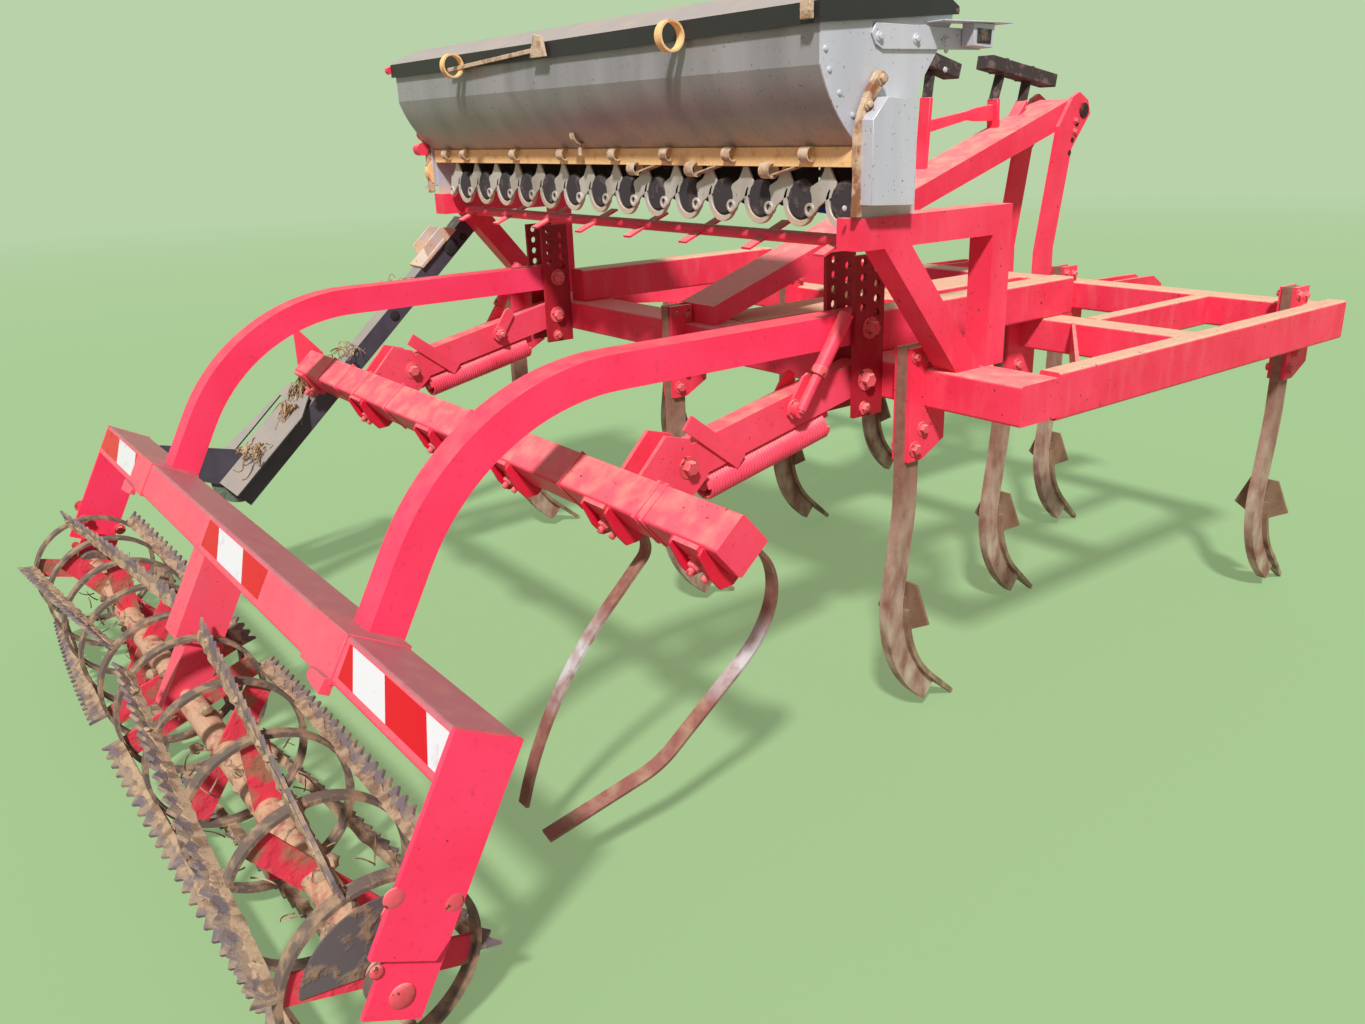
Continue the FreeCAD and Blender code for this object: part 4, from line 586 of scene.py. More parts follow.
def make(name, surfaces, finish, body, bevel=0.0, smooth_to=38):
    """Mesh of the gathered lofts, facing outwards, smooth where faces meet gently."""
    mesh = bpy.data.meshes.new(name)
    mesh.from_pydata(np.concatenate(surfaces.points).tolist(), [], surfaces.faces)
    draft = bmesh.new()
    draft.from_mesh(mesh)
    bmesh.ops.recalc_face_normals(draft, faces=draft.faces)
    draft.to_mesh(mesh)
    draft.free()
    mesh.polygons.foreach_set("use_smooth", np.ones(len(mesh.polygons), dtype=bool))
    mesh.set_sharp_from_angle(angle=math.radians(smooth_to))
    mesh.materials.append(finish)
    piece = in_scene(name, mesh)
    if bevel:
        edge = piece.modifiers.new("SoftEdge", "BEVEL")
        edge.width = bevel
        edge.segments = 1
        edge.limit_method = "ANGLE"
    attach(piece, body)
    print(name, "faces", len(mesh.polygons))
    return piece


# %% [markdown]
# ## Lathe, sweep, plate and bolt
# Four shapes serve nearly every piece: a profile turned round an axis, a section carried along a
# path, a flat outline with a thickness, and a six-sided bolt head that is two or three lathes.

# %% Lathe, sweep, plate and hex bolt
RIGHT, LEFT = np.array((1.0, 0, 0)), np.array((-1.0, 0, 0))
BACK, FRONT = np.array((0, -1.0, 0)), np.array((0, 1.0, 0))
UP, DOWN = np.array((0, 0, 1.0)), np.array((0, 0, -1.0))
SIDES = (1, -1)


def circle(radius, sides, turn=0.0):
    """Points evenly round a circle: (radius cos a, radius sin a)."""
    angle = np.arange(sides) * 2 * np.pi / sides + turn
    return radius * np.stack([np.cos(angle), np.sin(angle)], axis=-1)


def oblong(width, height):
    """Four corners of a rectangle about its middle."""
    return np.array([(-width, -height), (width, -height), (width, height), (-width, height)]) / 2


def basis(axis, up=(0, 0, 1)):
    """Two directions square to an axis, the second one as near to up as it can be."""
    axis = unit(axis)
    side = np.cross(up, axis)
    if np.linalg.norm(side) < 1e-6:
        side = np.cross((0, 1, 0), axis)
    side = unit(side)
    return side, np.cross(axis, side), axis


def lathe(surfaces, place, axis, profile, sides=16, turn=0.0):
    """Rings of the profile's (radius, height) pairs about an axis through a place."""
    side, over, axis = basis(axis)
    flat = circle(1.0, sides, turn)
    profile = np.asarray(profile, float)
    round_part = flat[:, 0:1] * side + flat[:, 1:2] * over
    surfaces.loft(np.asarray(place) + profile[:, 0, None, None] * round_part[None]
                  + profile[:, 1, None, None] * axis)


def sweep(surfaces, path, section, up=(0, 0, 1), closed=False, scale=None):
    """A section carried along a path, square to the path's direction at each point."""
    path = np.asarray(path, float)
    if closed:
        ahead = unit(np.roll(path, -1, axis=0) - np.roll(path, 1, axis=0))
    else:
        ahead = unit(np.gradient(path, axis=0))
    side = unit(np.cross(ahead, np.broadcast_to(np.asarray(up, float), ahead.shape)))
    over = np.cross(side, ahead)
    size = np.ones(len(path)) if scale is None else np.asarray(scale)
    section = size[:, None, None] * np.asarray(section, float)[None]
    surfaces.loft(path[:, None] + section[..., 0:1] * side[:, None]
                  + section[..., 1:2] * over[:, None], closed)


def plate(surfaces, outline, thickness, origin, across, up, start=0.0):
    """A flat outline of (across, up) pairs, given a thickness square to both directions."""
    outline = np.asarray(outline, float)
    across, up = unit(across), unit(up)
    out = np.cross(across, up)
    flat = np.asarray(origin) + outline[:, 0:1] * across + outline[:, 1:2] * up
    surfaces.loft(np.stack([flat + start * out, flat + (start + thickness) * out]))


def outward_plate(surfaces, outline, thickness, x, side, foot=(0, 0), across=FRONT, up=UP):
    """A plate square to X that starts at x and grows outwards, right (side 1) or left (-1)."""
    start = 0.0 if side > 0 else -thickness
    plate(surfaces, outline, thickness, (side * x, *foot), across, up, start)


def round_head(surfaces, place, axis, radius, rise):
    """Low domed head: its radius shrinks slowly at first and quickly at its crown."""
    lathe(surfaces, place, axis, [(radius, 0.0), (radius * 0.96, rise * 0.45),
                                  (radius * 0.75, rise * 0.85), (radius * 0.3, rise)], 16)


def hex_bolt(surfaces, place, axis, across=0.024, stub=0.0):
    """Washer, six-sided head with a softened crown, and the bolt's end where it shows."""
    lathe(surfaces, place, axis, [(across * 0.85, -0.001), (across * 0.85, 0.0028)], 14)
    corner = across / 2 / math.cos(math.pi / 6)
    lathe(surfaces, place, axis, [(corner, 0.002), (corner, across * 0.55),
                                  (corner * 0.82, across * 0.66)], 6)
    if stub:
        lathe(surfaces, place, axis, [(across * 0.3, 0.004), (across * 0.3, across * 0.66 + stub),
                                      (across * 0.22, across * 0.66 + stub + 0.003)], 10)


def bolt_through(surfaces, side, outer, inner, place, across, stub=0.0):
    """A bolt along X with both ends in sight: outwards at x outer and inwards at x inner."""
    for x, way in ((outer, 1), (inner, -1)):
        hex_bolt(surfaces, (side * x, *place), RIGHT * side * way, across, stub)


trial = Surfaces()
hex_bolt(trial, (0, 0, 0), RIGHT)
print("faces of one bolt", len(trial.faces))

# %% [markdown]
# ## Bolts on the frame
# The holders of the digging tines, the pivots and the mast are bolted. Each bolt is a washer and a
# six-sided head, a few dozen faces, and all those on one body share a mesh.

# %% Bolts on the frame
SHANK_BACK_OF = {"rear": -0.05, "middle": 0.76, "front": 1.51}
HOLDERS = {"rear": (0.952, -0.05, -1.10), "middle": (0.64, -0.39, -1.155),
           "front": (1.155, 0.31, -0.62)}
# A bolt's row says how far it is in front of the shank's back, its height and its width.
HOLDER_BOLTS = ((-0.038, 1.035, 0.018), (0.010, 1.028, 0.018), (-0.004, 0.845, 0.022),
                (-0.030, 0.795, 0.024))
HOLDER_HALF = 0.027
ARM_PLATE_OUTER, ARM_PLATE_INNER = 0.833, 0.717
# The rows below give y, z and the width across the head.
ARM_PLATE_BOLTS = ((-0.1, 1.094, 0.034), (-0.112, 0.96, 0.034), (-0.116, 0.885, 0.022))
MAST_FACE = 0.1
MAST_BOLTS = ((1.80, 1.57, 0.016), (1.80, 1.53, 0.016), (1.66, 0.93, 0.026), (1.69, 0.93, 0.026))

frame_bolts = Surfaces()
for row, tines in HOLDERS.items():
    for x in tines:
        for run, height, across in HOLDER_BOLTS:
            for side in (RIGHT, LEFT):
                face = np.array((x, SHANK_BACK_OF[row] + run, height)) + side * HOLDER_HALF
                hex_bolt(frame_bolts, face, side, across)
for side in SIDES:
    for y, z, across in ARM_PLATE_BOLTS:
        bolt_through(frame_bolts, side, ARM_PLATE_OUTER, ARM_PLATE_INNER, (y, z), across)
    for y, z, across in MAST_BOLTS:
        hex_bolt(frame_bolts, (side * MAST_FACE, y, z), RIGHT * side, across)
FASTENER_RED = red_paint("FastenerRed", (240, 104, 112), (196, 66, 70), FADED_PINK, dust=0.7, chips=0.62)
make("frame_bolts", frame_bolts, FASTENER_RED, "frame")

# %% [markdown]
# ## Heads on the roller's end plates
# Outside, the end plates carry low domed heads, and six-sided ones face inwards behind them.

# %% Heads on the roller's end plates
END_PLATE_OUTSIDE, END_PLATE_INSIDE, BEARING_OUTSIDE = 1.3225, 1.301, 1.3125

roller_bolts = Surfaces()
for side in SIDES:
    for y, z in ((-1.697, 0.431), (-1.596, 0.372)):
        round_head(roller_bolts, (side * END_PLATE_OUTSIDE, y, z), RIGHT * side, 0.020, 0.0045)
        hex_bolt(roller_bolts, (side * END_PLATE_INSIDE, y, z - 0.045), LEFT * side, 0.022)
    round_head(roller_bolts, (side * BEARING_OUTSIDE, *HOOP_AXIS), RIGHT * side, 0.024, 0.008)
    for y, z in ((-1.655, 0.305), (-1.740, 0.300)):
        round_head(roller_bolts, (side * BEARING_OUTSIDE, y, z), RIGHT * side, 0.013, 0.006)
make("roller_frame_bolts", roller_bolts, FASTENER_RED, "roller_frame")

# %% [markdown]
# ## Bolts of the harrow
# The harrow bar is a square tube set on edge. Places on it are given along the two directions that
# its faces look in, so a bolt's place doesn't depend on how far the bar is turned.

# %% Bolts of the harrow
BAR_Y, BAR_Z, BAR_TURN = -0.91401, 0.82803, math.radians(41)
BAR_HALF = 0.0475
BAR_U = np.array((0, math.cos(BAR_TURN), math.sin(BAR_TURN)))
BAR_V = np.array((0, -math.sin(BAR_TURN), math.cos(BAR_TURN)))
CLAMPS = (-1.03, -0.51, -0.02, 0.42, 0.862, 1.19)
HARROW_PIN = (-0.68911, 0.83733)


def on_bar(x, u, v):
    """Point at x on the harrow bar: u forwards and up, v backwards and up from its middle."""
    return np.array((x, BAR_Y, BAR_Z)) + u * BAR_U + v * BAR_V


harrow_bolts = Surfaces()
for x in CLAMPS:
    for shift in (-0.024, 0.024):
        hex_bolt(harrow_bolts, on_bar(x + shift, -0.0575, -0.03), -BAR_U, 0.026, 0.012)
        hex_bolt(harrow_bolts, on_bar(x + shift, 0.02, -0.0575), -BAR_V, 0.022, 0.010)
for side in SIDES:
    bolt_through(harrow_bolts, side, 0.817, 0.733, HARROW_PIN, 0.032)
make("harrow_bolts", harrow_bolts, FASTENER_RED, "harrow")

# %% [markdown]
# ## Harrow bar: cheek plates and bands
# Each clamp but the last on the left has a cheek plate on either side that stands out below the
# bar. Thin bands lie across the bar where sections were welded: a band is a square ring a little
# larger than the bar.

# %% Cheeks and bands
CHEEK_OUTLINE = ((-0.0475, 0.046), (-0.066, 0.040), (-0.082, -0.02), (-0.082, -0.058),
                 (-0.055, -0.078), (0.006, -0.078), (0.046, -0.062), (0.046, -0.0475),
                 (-0.0475, -0.0475))
BAND_HALF = BAR_HALF + 0.0025
BAND_PLACES = ((1.00, 1.012), (1.026, 1.038), (0.70, 0.707), (-0.30, -0.293), (-0.86, -0.85),
               (-0.70, -0.69), (-0.55, -0.54), (0.14, 0.15), (0.30, 0.312))

cheeks = Surfaces()
for x in CLAMPS[1:]:
    for shift in (-0.051, 0.043):
        plate(cheeks, CHEEK_OUTLINE, 0.008, on_bar(x + shift, 0, 0), BAR_U, BAR_V)
CHEEK_RED = red_paint("CheekRed", (226, 30, 62), (206, 24, 50), (232, 66, 86))
make("harrow_cheeks", cheeks, CHEEK_RED, "harrow", bevel=0.0015)

bands = Surfaces()
band_corners = np.array([on_bar(0, u, v) for u, v in oblong(2 * BAND_HALF, 2 * BAND_HALF)])
for start, end in BAND_PLACES:
    bands.loft(np.stack([band_corners + (start, 0, 0), band_corners + (end, 0, 0)]))
make("harrow_bands", bands, HARROW_RED, "harrow", bevel=0.001)

# %% [markdown]
# ## Springs
# The harrow's tension springs are close wound, so their turns touch. In the CAD they are plain
# rolls. A helix of round wire goes round each roll and hides it: it moves along the roll by a
# little less than one wire thickness a turn.

# %% Spring coils
ARM_PIVOT, ARM_TURN = (-0.112, 0.96), math.radians(12)
SPRING_X, SPRING_TURNS, SPRING_STEPS = 0.775, 46, 14
WIRE_RADIUS, COIL_RADIUS = 0.0050, 0.0345
SPRING_START, SPRING_LENGTH, SPRING_DROP = -0.132 - 0.405, 0.405, -0.0845


def on_arm(x, along, rise):
    """Points beside a harrow arm: along it from its pivot and above its middle line."""
    along, rise = np.asarray(along, float), np.asarray(rise, float)
    return np.stack(np.broadcast_arrays(
        x, ARM_PIVOT[0] + along * math.cos(ARM_TURN) - rise * math.sin(ARM_TURN),
        ARM_PIVOT[1] + along * math.sin(ARM_TURN) + rise * math.cos(ARM_TURN)), axis=-1)


coils = Surfaces()
share = np.linspace(0, 1, SPRING_TURNS * SPRING_STEPS + 1)
angle = share * SPRING_TURNS * 2 * np.pi
arm_axis = on_arm(0.0, 1.0, 0.0) - on_arm(0.0, 0.0, 0.0)
for side in SIDES:
    helix = on_arm(side * SPRING_X + COIL_RADIUS * np.cos(angle),
                   SPRING_START + share * SPRING_LENGTH,
                   SPRING_DROP + COIL_RADIUS * np.sin(angle))
    sweep(coils, helix, circle(WIRE_RADIUS, 6), up=arm_axis)
SPRING_RED = red_paint("SpringRed", (248, 86, 108), (226, 60, 84), FADED_PINK)
make("harrow_spring_coils", coils, SPRING_RED, "harrow")

# %% [markdown]
# ## Forks of the setting rods
# Each setting rod ends in a flat fork that straddles the harrow arm, with a bolt through both.
# A fork plate is a long outline with cut corners along the rod's direction.

# %% Rod forks
ROD_FOOT = np.array((-0.345, 0.918))
ROD_WAY = unit(np.array((-0.190, 1.140)) - ROD_FOOT)
ROD_UP = np.array((0, ROD_WAY[0], ROD_WAY[1]))
ROD_ACROSS = np.array((0, ROD_WAY[1], -ROD_WAY[0]))
FORK_OUTLINE = ((-0.012, -0.024), (0.012, -0.024), (0.021, -0.006), (0.021, 0.080), (0.012, 0.096),
                (-0.012, 0.096), (-0.021, 0.080), (-0.021, -0.006))
COLLAR_X, COLLAR_RUN = 0.836, 0.11
COLLAR_PROFILE = ((0.019, -0.012), (0.021, -0.010), (0.021, 0.010), (0.019, 0.012))

forks, fork_bolts = Surfaces(), Surfaces()
for side in SIDES:
    for x in (0.8055, 0.7365):
        outward_plate(forks, FORK_OUTLINE, 0.008, x, side, ROD_FOOT, ROD_ACROSS, ROD_UP)
    bolt_through(fork_bolts, side, 0.8145, 0.7355, ROD_FOOT, 0.030, 0.008)
    collar = np.array((side * COLLAR_X, *(ROD_FOOT + COLLAR_RUN * ROD_WAY)))
    lathe(fork_bolts, collar, ROD_UP, COLLAR_PROFILE)
make("rod_forks", forks, HARROW_RED, "harrow", bevel=0.0015)
make("rod_fork_bolts", fork_bolts, FASTENER_RED, "harrow")

# %% [markdown]
# ## Warning tape on the roller beam
# Red and white reflective tape is stuck on the beam's rear face in three places. Every stripe is a
# thin plate with slanting ends, so its edges stay crisp from any distance.

# %% Tape stripes
TILT = math.radians(28.2)
FACE_TOP = np.array((0, -1.5604, 0.6919))
FACE_DOWN = np.array((0, -math.sin(TILT), -math.cos(TILT)))
TAPE_TOP, TAPE_BOTTOM, TAPE_SLANT, TAPE_THICKNESS = 0.010, 0.080, 0.062, 0.0008
TAPE_PATCHES = ((0.886, 1.312, (0.90, 1.05, 1.225)), (-0.068, 0.392, (0.013, 0.211)),
                (-1.312, -0.80, (-1.13, -0.90)))


def stripe(surfaces, bounds, near, far):
    """One stripe between two slanting edges, cut to the patch it belongs to."""
    low, high = bounds
    top = np.clip((near, far), low, high)
    bottom = np.clip((near + TAPE_SLANT, far + TAPE_SLANT), low, high)
    outline = [(top[0], -TAPE_TOP), (bottom[0], -TAPE_BOTTOM), (bottom[1], -TAPE_BOTTOM),
               (top[1], -TAPE_TOP)]
    plate(surfaces, outline, TAPE_THICKNESS, FACE_TOP, RIGHT, -FACE_DOWN)


def tape_finish(name, base, worn):
    """Glossy film with a fine honeycomb and a few worn, muddy places."""
    film = Finish(name, 0.4)
    film.shader.inputs["Specular IOR Level"].default_value = 0.2
    muddy = film.patches(24.0, 0.60, 0.74, 0.5)
    film.colour(film.mix(muddy, paint(*base), paint(*worn)))
    film.rough(muddy, 0.28, 0.8)
    return film.raised(film.patches(420.0, 0.4, 0.6), 0.0002, 0.3)


white_tape, red_tape = Surfaces(), Surfaces()
for start, end, edges in TAPE_PATCHES:
    ends = [start - TAPE_SLANT, *edges, end]
    for index, (near, far) in enumerate(zip(ends, ends[1:])):
        stripe(white_tape if index % 2 else red_tape, (start, end), near, far)
TAPE_WHITE = tape_finish("TapeWhite", (216, 214, 214), (190, 158, 146))
TAPE_RED = tape_finish("TapeRed", (206, 0, 30), (170, 60, 56))
make("warning_tape_white", white_tape, TAPE_WHITE, "roller_frame")
make("warning_tape_red", red_tape, TAPE_RED, "roller_frame")

# %% [markdown]
# ## Bands at the feet of the roller arms
# Each arm stands on a collar that is folded round the beam, with a small lug at its lower edge. The
# collar is a ring of the beam's own four corners, moved out by its thickness.

# %% Beam bands
BEAM_DEPTH, BEAM_WIDTH, BAND_OUT = 0.100, 0.137, 0.003
BAND_ENDS, LUG_STATIONS = (0.700, 0.865), (0.862, 0.812, 0.775)
FACE_AHEAD = np.array((0, math.cos(TILT), -math.sin(TILT)))
LUG_PLACE = FACE_TOP + 0.108 * FACE_DOWN - 0.004 * FACE_AHEAD
band_ring = np.array([FACE_TOP + run * FACE_AHEAD + drop * FACE_DOWN for run, drop in (
    (-BAND_OUT, -BAND_OUT), (-BAND_OUT, BEAM_DEPTH + BAND_OUT),
    (BEAM_WIDTH + BAND_OUT, BEAM_DEPTH + BAND_OUT), (BEAM_WIDTH + BAND_OUT, -BAND_OUT))])

beam_bands = Surfaces()
for side in SIDES:
    beam_bands.loft(np.stack([band_ring + (side * x, 0, 0) for x in BAND_ENDS]))
    sweep(beam_bands, [LUG_PLACE + (side * x, 0, 0) for x in LUG_STATIONS],
          oblong(0.024, 0.034), up=FACE_DOWN, scale=(1.0, 0.9, 0.6))
make("beam_bands", beam_bands, ROLLER_BEAM_RED, "roller_frame", bevel=0.001)

# %% [markdown]
# ## Toothed bars of the cage roller
# The six bars of each cage are wound a little round the roller and their outer edge is cut into
# teeth. In the CAD they are plain bars, so these stand for them: from station to station the
# outer radius follows the outline of one tooth, over and over. Clay is caked along each bar's foot.

# %% Toothed bars
AXIS_Y, AXIS_Z = -1.704191, 0.230
TIP_RADIUS, SEAT_RADIUS, BAR_THICKNESS = 0.230, 0.1846, 0.008
TOOTH_DEPTH, TOOTH_PITCH = 0.016, 0.045
TOOTH_SHAPE = np.array((0.0, 0.55, 1.0, 0.9, 0.45))
CAGE_TWIST = math.radians(32)
BAR_COUNT = 6
# Each cage: its name, where its bars start and end, and which way they are wound.
CAGES = (("right", -0.010, 1.245, 1), ("left", -1.245, -0.170, -1))
draw = np.random.default_rng(7)


def round_axis(x, angle, radial, across=0.0):
    """Points round the roller's axis: radial out from it at an angle, and across square to that."""
    y = AXIS_Y - radial * np.sin(angle) + across * np.cos(angle)
    z = AXIS_Z + radial * np.cos(angle) + across * np.sin(angle)
    return np.stack([np.broadcast_to(x, np.shape(y)), y, z], axis=-1)


def toothed_bar(surfaces, start, end, turn, side):
    """Rings of four corners whose outer radius is the tip circle less the depth of the tooth."""
    count = int(round((end - start) / TOOTH_PITCH)) * len(TOOTH_SHAPE) + 1
    share = np.linspace(0, 1, count)
    angle = turn + (share - 0.5) * CAGE_TWIST * side
    outer = TIP_RADIUS - TOOTH_SHAPE[np.arange(count) % len(TOOTH_SHAPE)] * TOOTH_DEPTH
    inner = np.full(count, SEAT_RADIUS)
    radial = np.stack([inner, outer, outer, inner], axis=1)
    across = np.array((-1, -1, 1, 1)) * BAR_THICKNESS / 2
    x = start + share * (end - start)
    surfaces.loft(round_axis(x[:, None], angle[:, None], radial, across))


def clay_ridge(surfaces, start, end, turn, side):
    """Clay caked along a bar's foot: four corners at each station, pushed about at random."""
    count = int((end - start) / 0.022)
    share = np.linspace(0.01, 0.99, count)
    angle = turn + (share - 0.5) * CAGE_TWIST * side
    caked = draw.uniform(0.0, 1.0, count) ** 1.5
    top = SEAT_RADIUS + 0.008 + 0.016 * caked + draw.uniform(-0.002, 0.002, count)
    foot = np.full(count, SEAT_RADIUS - 0.004)
    radial = np.stack([foot, top, top, foot], axis=1)
    across = np.array((-1.2, -0.8, 0.8, 1.2)) * (0.0065 + 0.005 * caked)[:, None]
    x = start + share * (end - start)
    surfaces.loft(round_axis(x[:, None], angle[:, None], radial, across))


CLAY_TAN = dusty_finish("ClayTan", (124, 98, 78), (176, 148, 118), 0.6)
for name, start, end, side in CAGES:
    bars, ridges = Surfaces(), Surfaces()
    for index in range(BAR_COUNT):
        turn = math.radians(360 / BAR_COUNT * index)
        toothed_bar(bars, start, end, turn, side)
        clay_ridge(ridges, start, end, turn, side)
    make(f"clay_ridges_{name}", ridges, CLAY_TAN, f"roller_{name}")
    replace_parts(make(f"toothed_bars_{name}", bars, TOOTH_STEEL, f"roller_{name}"), f"roller_bars_{name}")

# %% [markdown]
# ## End plate of the right cage
# The last spokes are covered by a dark plate in the form of an open fan, which turns with the cage.
# Its outline runs along one arc and back along another.

# %% End plate of the right cage
FAN_INNER, FAN_OUTER, FAN_X, FAN_THICKNESS = 0.036, 0.146, 1.237, 0.004
fan_angle = np.radians(np.linspace(8, 102, 14))
fan_arc = np.stack([np.cos(fan_angle), np.sin(fan_angle)], axis=-1)
fan = Surfaces()
plate(fan, np.concatenate([FAN_OUTER * fan_arc, FAN_INNER * fan_arc[::-1]]), FAN_THICKNESS,
      (FAN_X, AXIS_Y, AXIS_Z), BACK, UP)
DISC_GREY = dusty_finish("DiscGrey", (96, 88, 88), (150, 122, 94), 0.3)
make("cage_fan_right", fan, DISC_GREY, "roller_right")

# %% [markdown]
# ## Feed units under the seed box
# Each unit shows a pale cast plate with a hook and an eye, a dark cover disc beside it, and a pale
# crescent round the disc. Flat outlines with a thickness give all three; the eye is a short tube.

# %% Feed units
UNIT_COUNT, UNIT_PITCH = 14, 0.142
UNIT_TOP, UNIT_BACK = 1.517, -0.359
HOOK_OUTLINE = ((0.016, 0.0), (0.034, -0.030), (0.046, -0.048), (0.040, -0.078), (0.014, -0.088),
                (-0.010, -0.102), (-0.022, -0.116), (-0.038, -0.124), (-0.052, -0.112),
                (-0.046, -0.092), (-0.036, -0.058), (-0.010, -0.046), (0.004, -0.026))
EYE_PROFILE = ((0.009, 0.0), (0.009, 0.014), (0.016, 0.014), (0.016, 0.0))
DISC_PROFILE = ((0.046, 0.0), (0.046, 0.006), (0.040, 0.012), (0.006, 0.013))
CRESCENT_RADIUS, CRESCENT_WIDTH = 0.047, 0.016
CRESCENT_DEPTH = np.array((0, -0.012, 0))
arc = np.radians(np.linspace(150, 318, 15))
arc_way = np.stack([np.cos(arc), 0 * arc, np.sin(arc)], axis=-1)
width = CRESCENT_WIDTH * np.sin(np.linspace(0.35, math.pi - 0.35, len(arc)))

hooks, discs = Surfaces(), Surfaces()
for index in range(UNIT_COUNT):
    x = (index - (UNIT_COUNT - 1) / 2) * UNIT_PITCH
    plate(hooks, HOOK_OUTLINE, 0.006, (x, UNIT_BACK, UNIT_TOP), RIGHT, UP)
    lathe(hooks, (x - 0.038, UNIT_BACK + 0.004, UNIT_TOP - 0.110), BACK, EYE_PROFILE, 14)
    middle = np.array((x + 0.070, UNIT_BACK + 0.006, UNIT_TOP - 0.088))
    lathe(discs, middle, BACK, DISC_PROFILE, 20)
    inner = middle + CRESCENT_RADIUS * arc_way
    outer = inner + width[:, None] * arc_way
    hooks.loft(np.stack([inner, outer, outer + CRESCENT_DEPTH, inner + CRESCENT_DEPTH], axis=1))
CAST_PALE = grey_sheet("CastPale", (206, 198, 190), (166, 154, 142), 1.36, 1.42)
UNIT_DARK = dusty_finish("UnitDark", (58, 50, 54), (96, 84, 80), 0.2)
make("unit_hooks", hooks, CAST_PALE, "frame", bevel=0.001)
make("unit_discs", discs, UNIT_DARK, "frame")

# %% [markdown]
# ## Facing strip and clips of the rail
# A dusty strip faces the rail. Strips of flat steel curled to a ring close the feed slides: a flat
# section carried round a circle that lies square to the rail. A larger ring stands on the rail
# near its middle.

# %% Rail clips
STRIP_OUTLINE = ((-1.040, 0.0), (1.044, 0.0), (1.044, 0.043), (-1.040, 0.043))
HIGH_CLIPS = (-0.92, -0.78, -0.434, -0.145, 0.13, 0.372, 0.63, 0.904)
LOW_CLIPS = (0.215, 0.475, 0.765)
TAIL_OUTLINE = ((0.0, 0.0), (0.075, 0.018), (0.075, 0.021), (0.0, 0.004))


def curl(surfaces, place, radius, width, thickness=0.003, sides=18):
    """A flat strip bent to a closed ring round an axis along X."""
    angle = np.linspace(0, 2 * np.pi, sides, endpoint=False)
    path = np.asarray(place) + radius * np.stack([0 * angle, np.cos(angle), np.sin(angle)], axis=-1)
    sweep(surfaces, path, oblong(thickness, width), up=RIGHT, closed=True)


facing_strip = Surfaces()
# The strip's pale dust colour is partly painted light.
plate(facing_strip, STRIP_OUTLINE, 0.012, (0, -0.372, 1.503), RIGHT, UP)
make("rail_facing", facing_strip, RAIL_DUST_PAINTED_LIGHT, "frame", bevel=0.001)

clips = Surfaces()
for x in HIGH_CLIPS:
    curl(clips, (x, -0.392, 1.531), 0.016, 0.030)
for x in LOW_CLIPS:
    curl(clips, (x, -0.386, 1.494), 0.017, 0.034)
    plate(clips, TAIL_OUTLINE, 0.03, (x + 0.01, -0.36, 1.482), RIGHT, UP)
curl(clips, (-0.03, -0.404, 1.585), 0.026, 0.022)
lathe(clips, (-0.03, -0.404, 1.559), DOWN, [(0.007, -0.004), (0.007, 0.03)], 10)
CLIP_TAN = dusty_finish("ClipTan", (168, 132, 104), (206, 182, 152), 0.7)
make("rail_clips", clips, CLIP_TAN, "frame")

# %% [markdown]
# ## Ends of the seed box
# A long bracket closes each end wall, with a cover below it, and a shelf and a small box at its
# front. A rusty strap runs up the cover's rear edge, and rivets dot the wall. The same outlines
# serve both ends, since an outward plate grows the other way on the left.

# %% Brackets and rivets at the ends of the seed box
END_FACE, RIVET_FACE = 1.051, 1.050
BRACKET_ARM = ((-0.352, 0.0), (-0.340, -0.022), (-0.318, -0.032), (0.0, -0.030), (0.012, -0.024),
               (0.012, 0.012), (-0.16, 0.016), (-0.340, 0.020))
END_COVER = ((-0.390, 1.425), (-0.256, 1.418), (-0.254, 1.636), (-0.345, 1.645), (-0.390, 1.600))
SHELF = ((-0.18, 0.0), (0.058, 0.0), (0.058, 0.003), (-0.18, 0.003))
SMALL_BOX = ((-0.066, 1.748), (0.0, 1.744), (0.006, 1.794), (-0.066, 1.795))
BOX_WINDOW = ((-0.056, 1.754), (-0.008, 1.752), (-0.006, 1.782), (-0.056, 1.784))
STRAP_PATH = ((-0.397, 1.400), (-0.397, 1.480), (-0.396, 1.560), (-0.388, 1.610), (-0.364, 1.648),
              (-0.330, 1.690))
RIVETS = ((-0.482, 1.74), (-0.470, 1.70), (-0.440, 1.655), (-0.40, 1.61), (-0.11, 1.74),
          (-0.11, 1.70), (-0.28, 1.86), (-0.42, 1.42), (-0.37, 1.42))
RIVET_PROFILE = ((0.0065, 0.0), (0.0055, 0.003), (0.002, 0.0045))

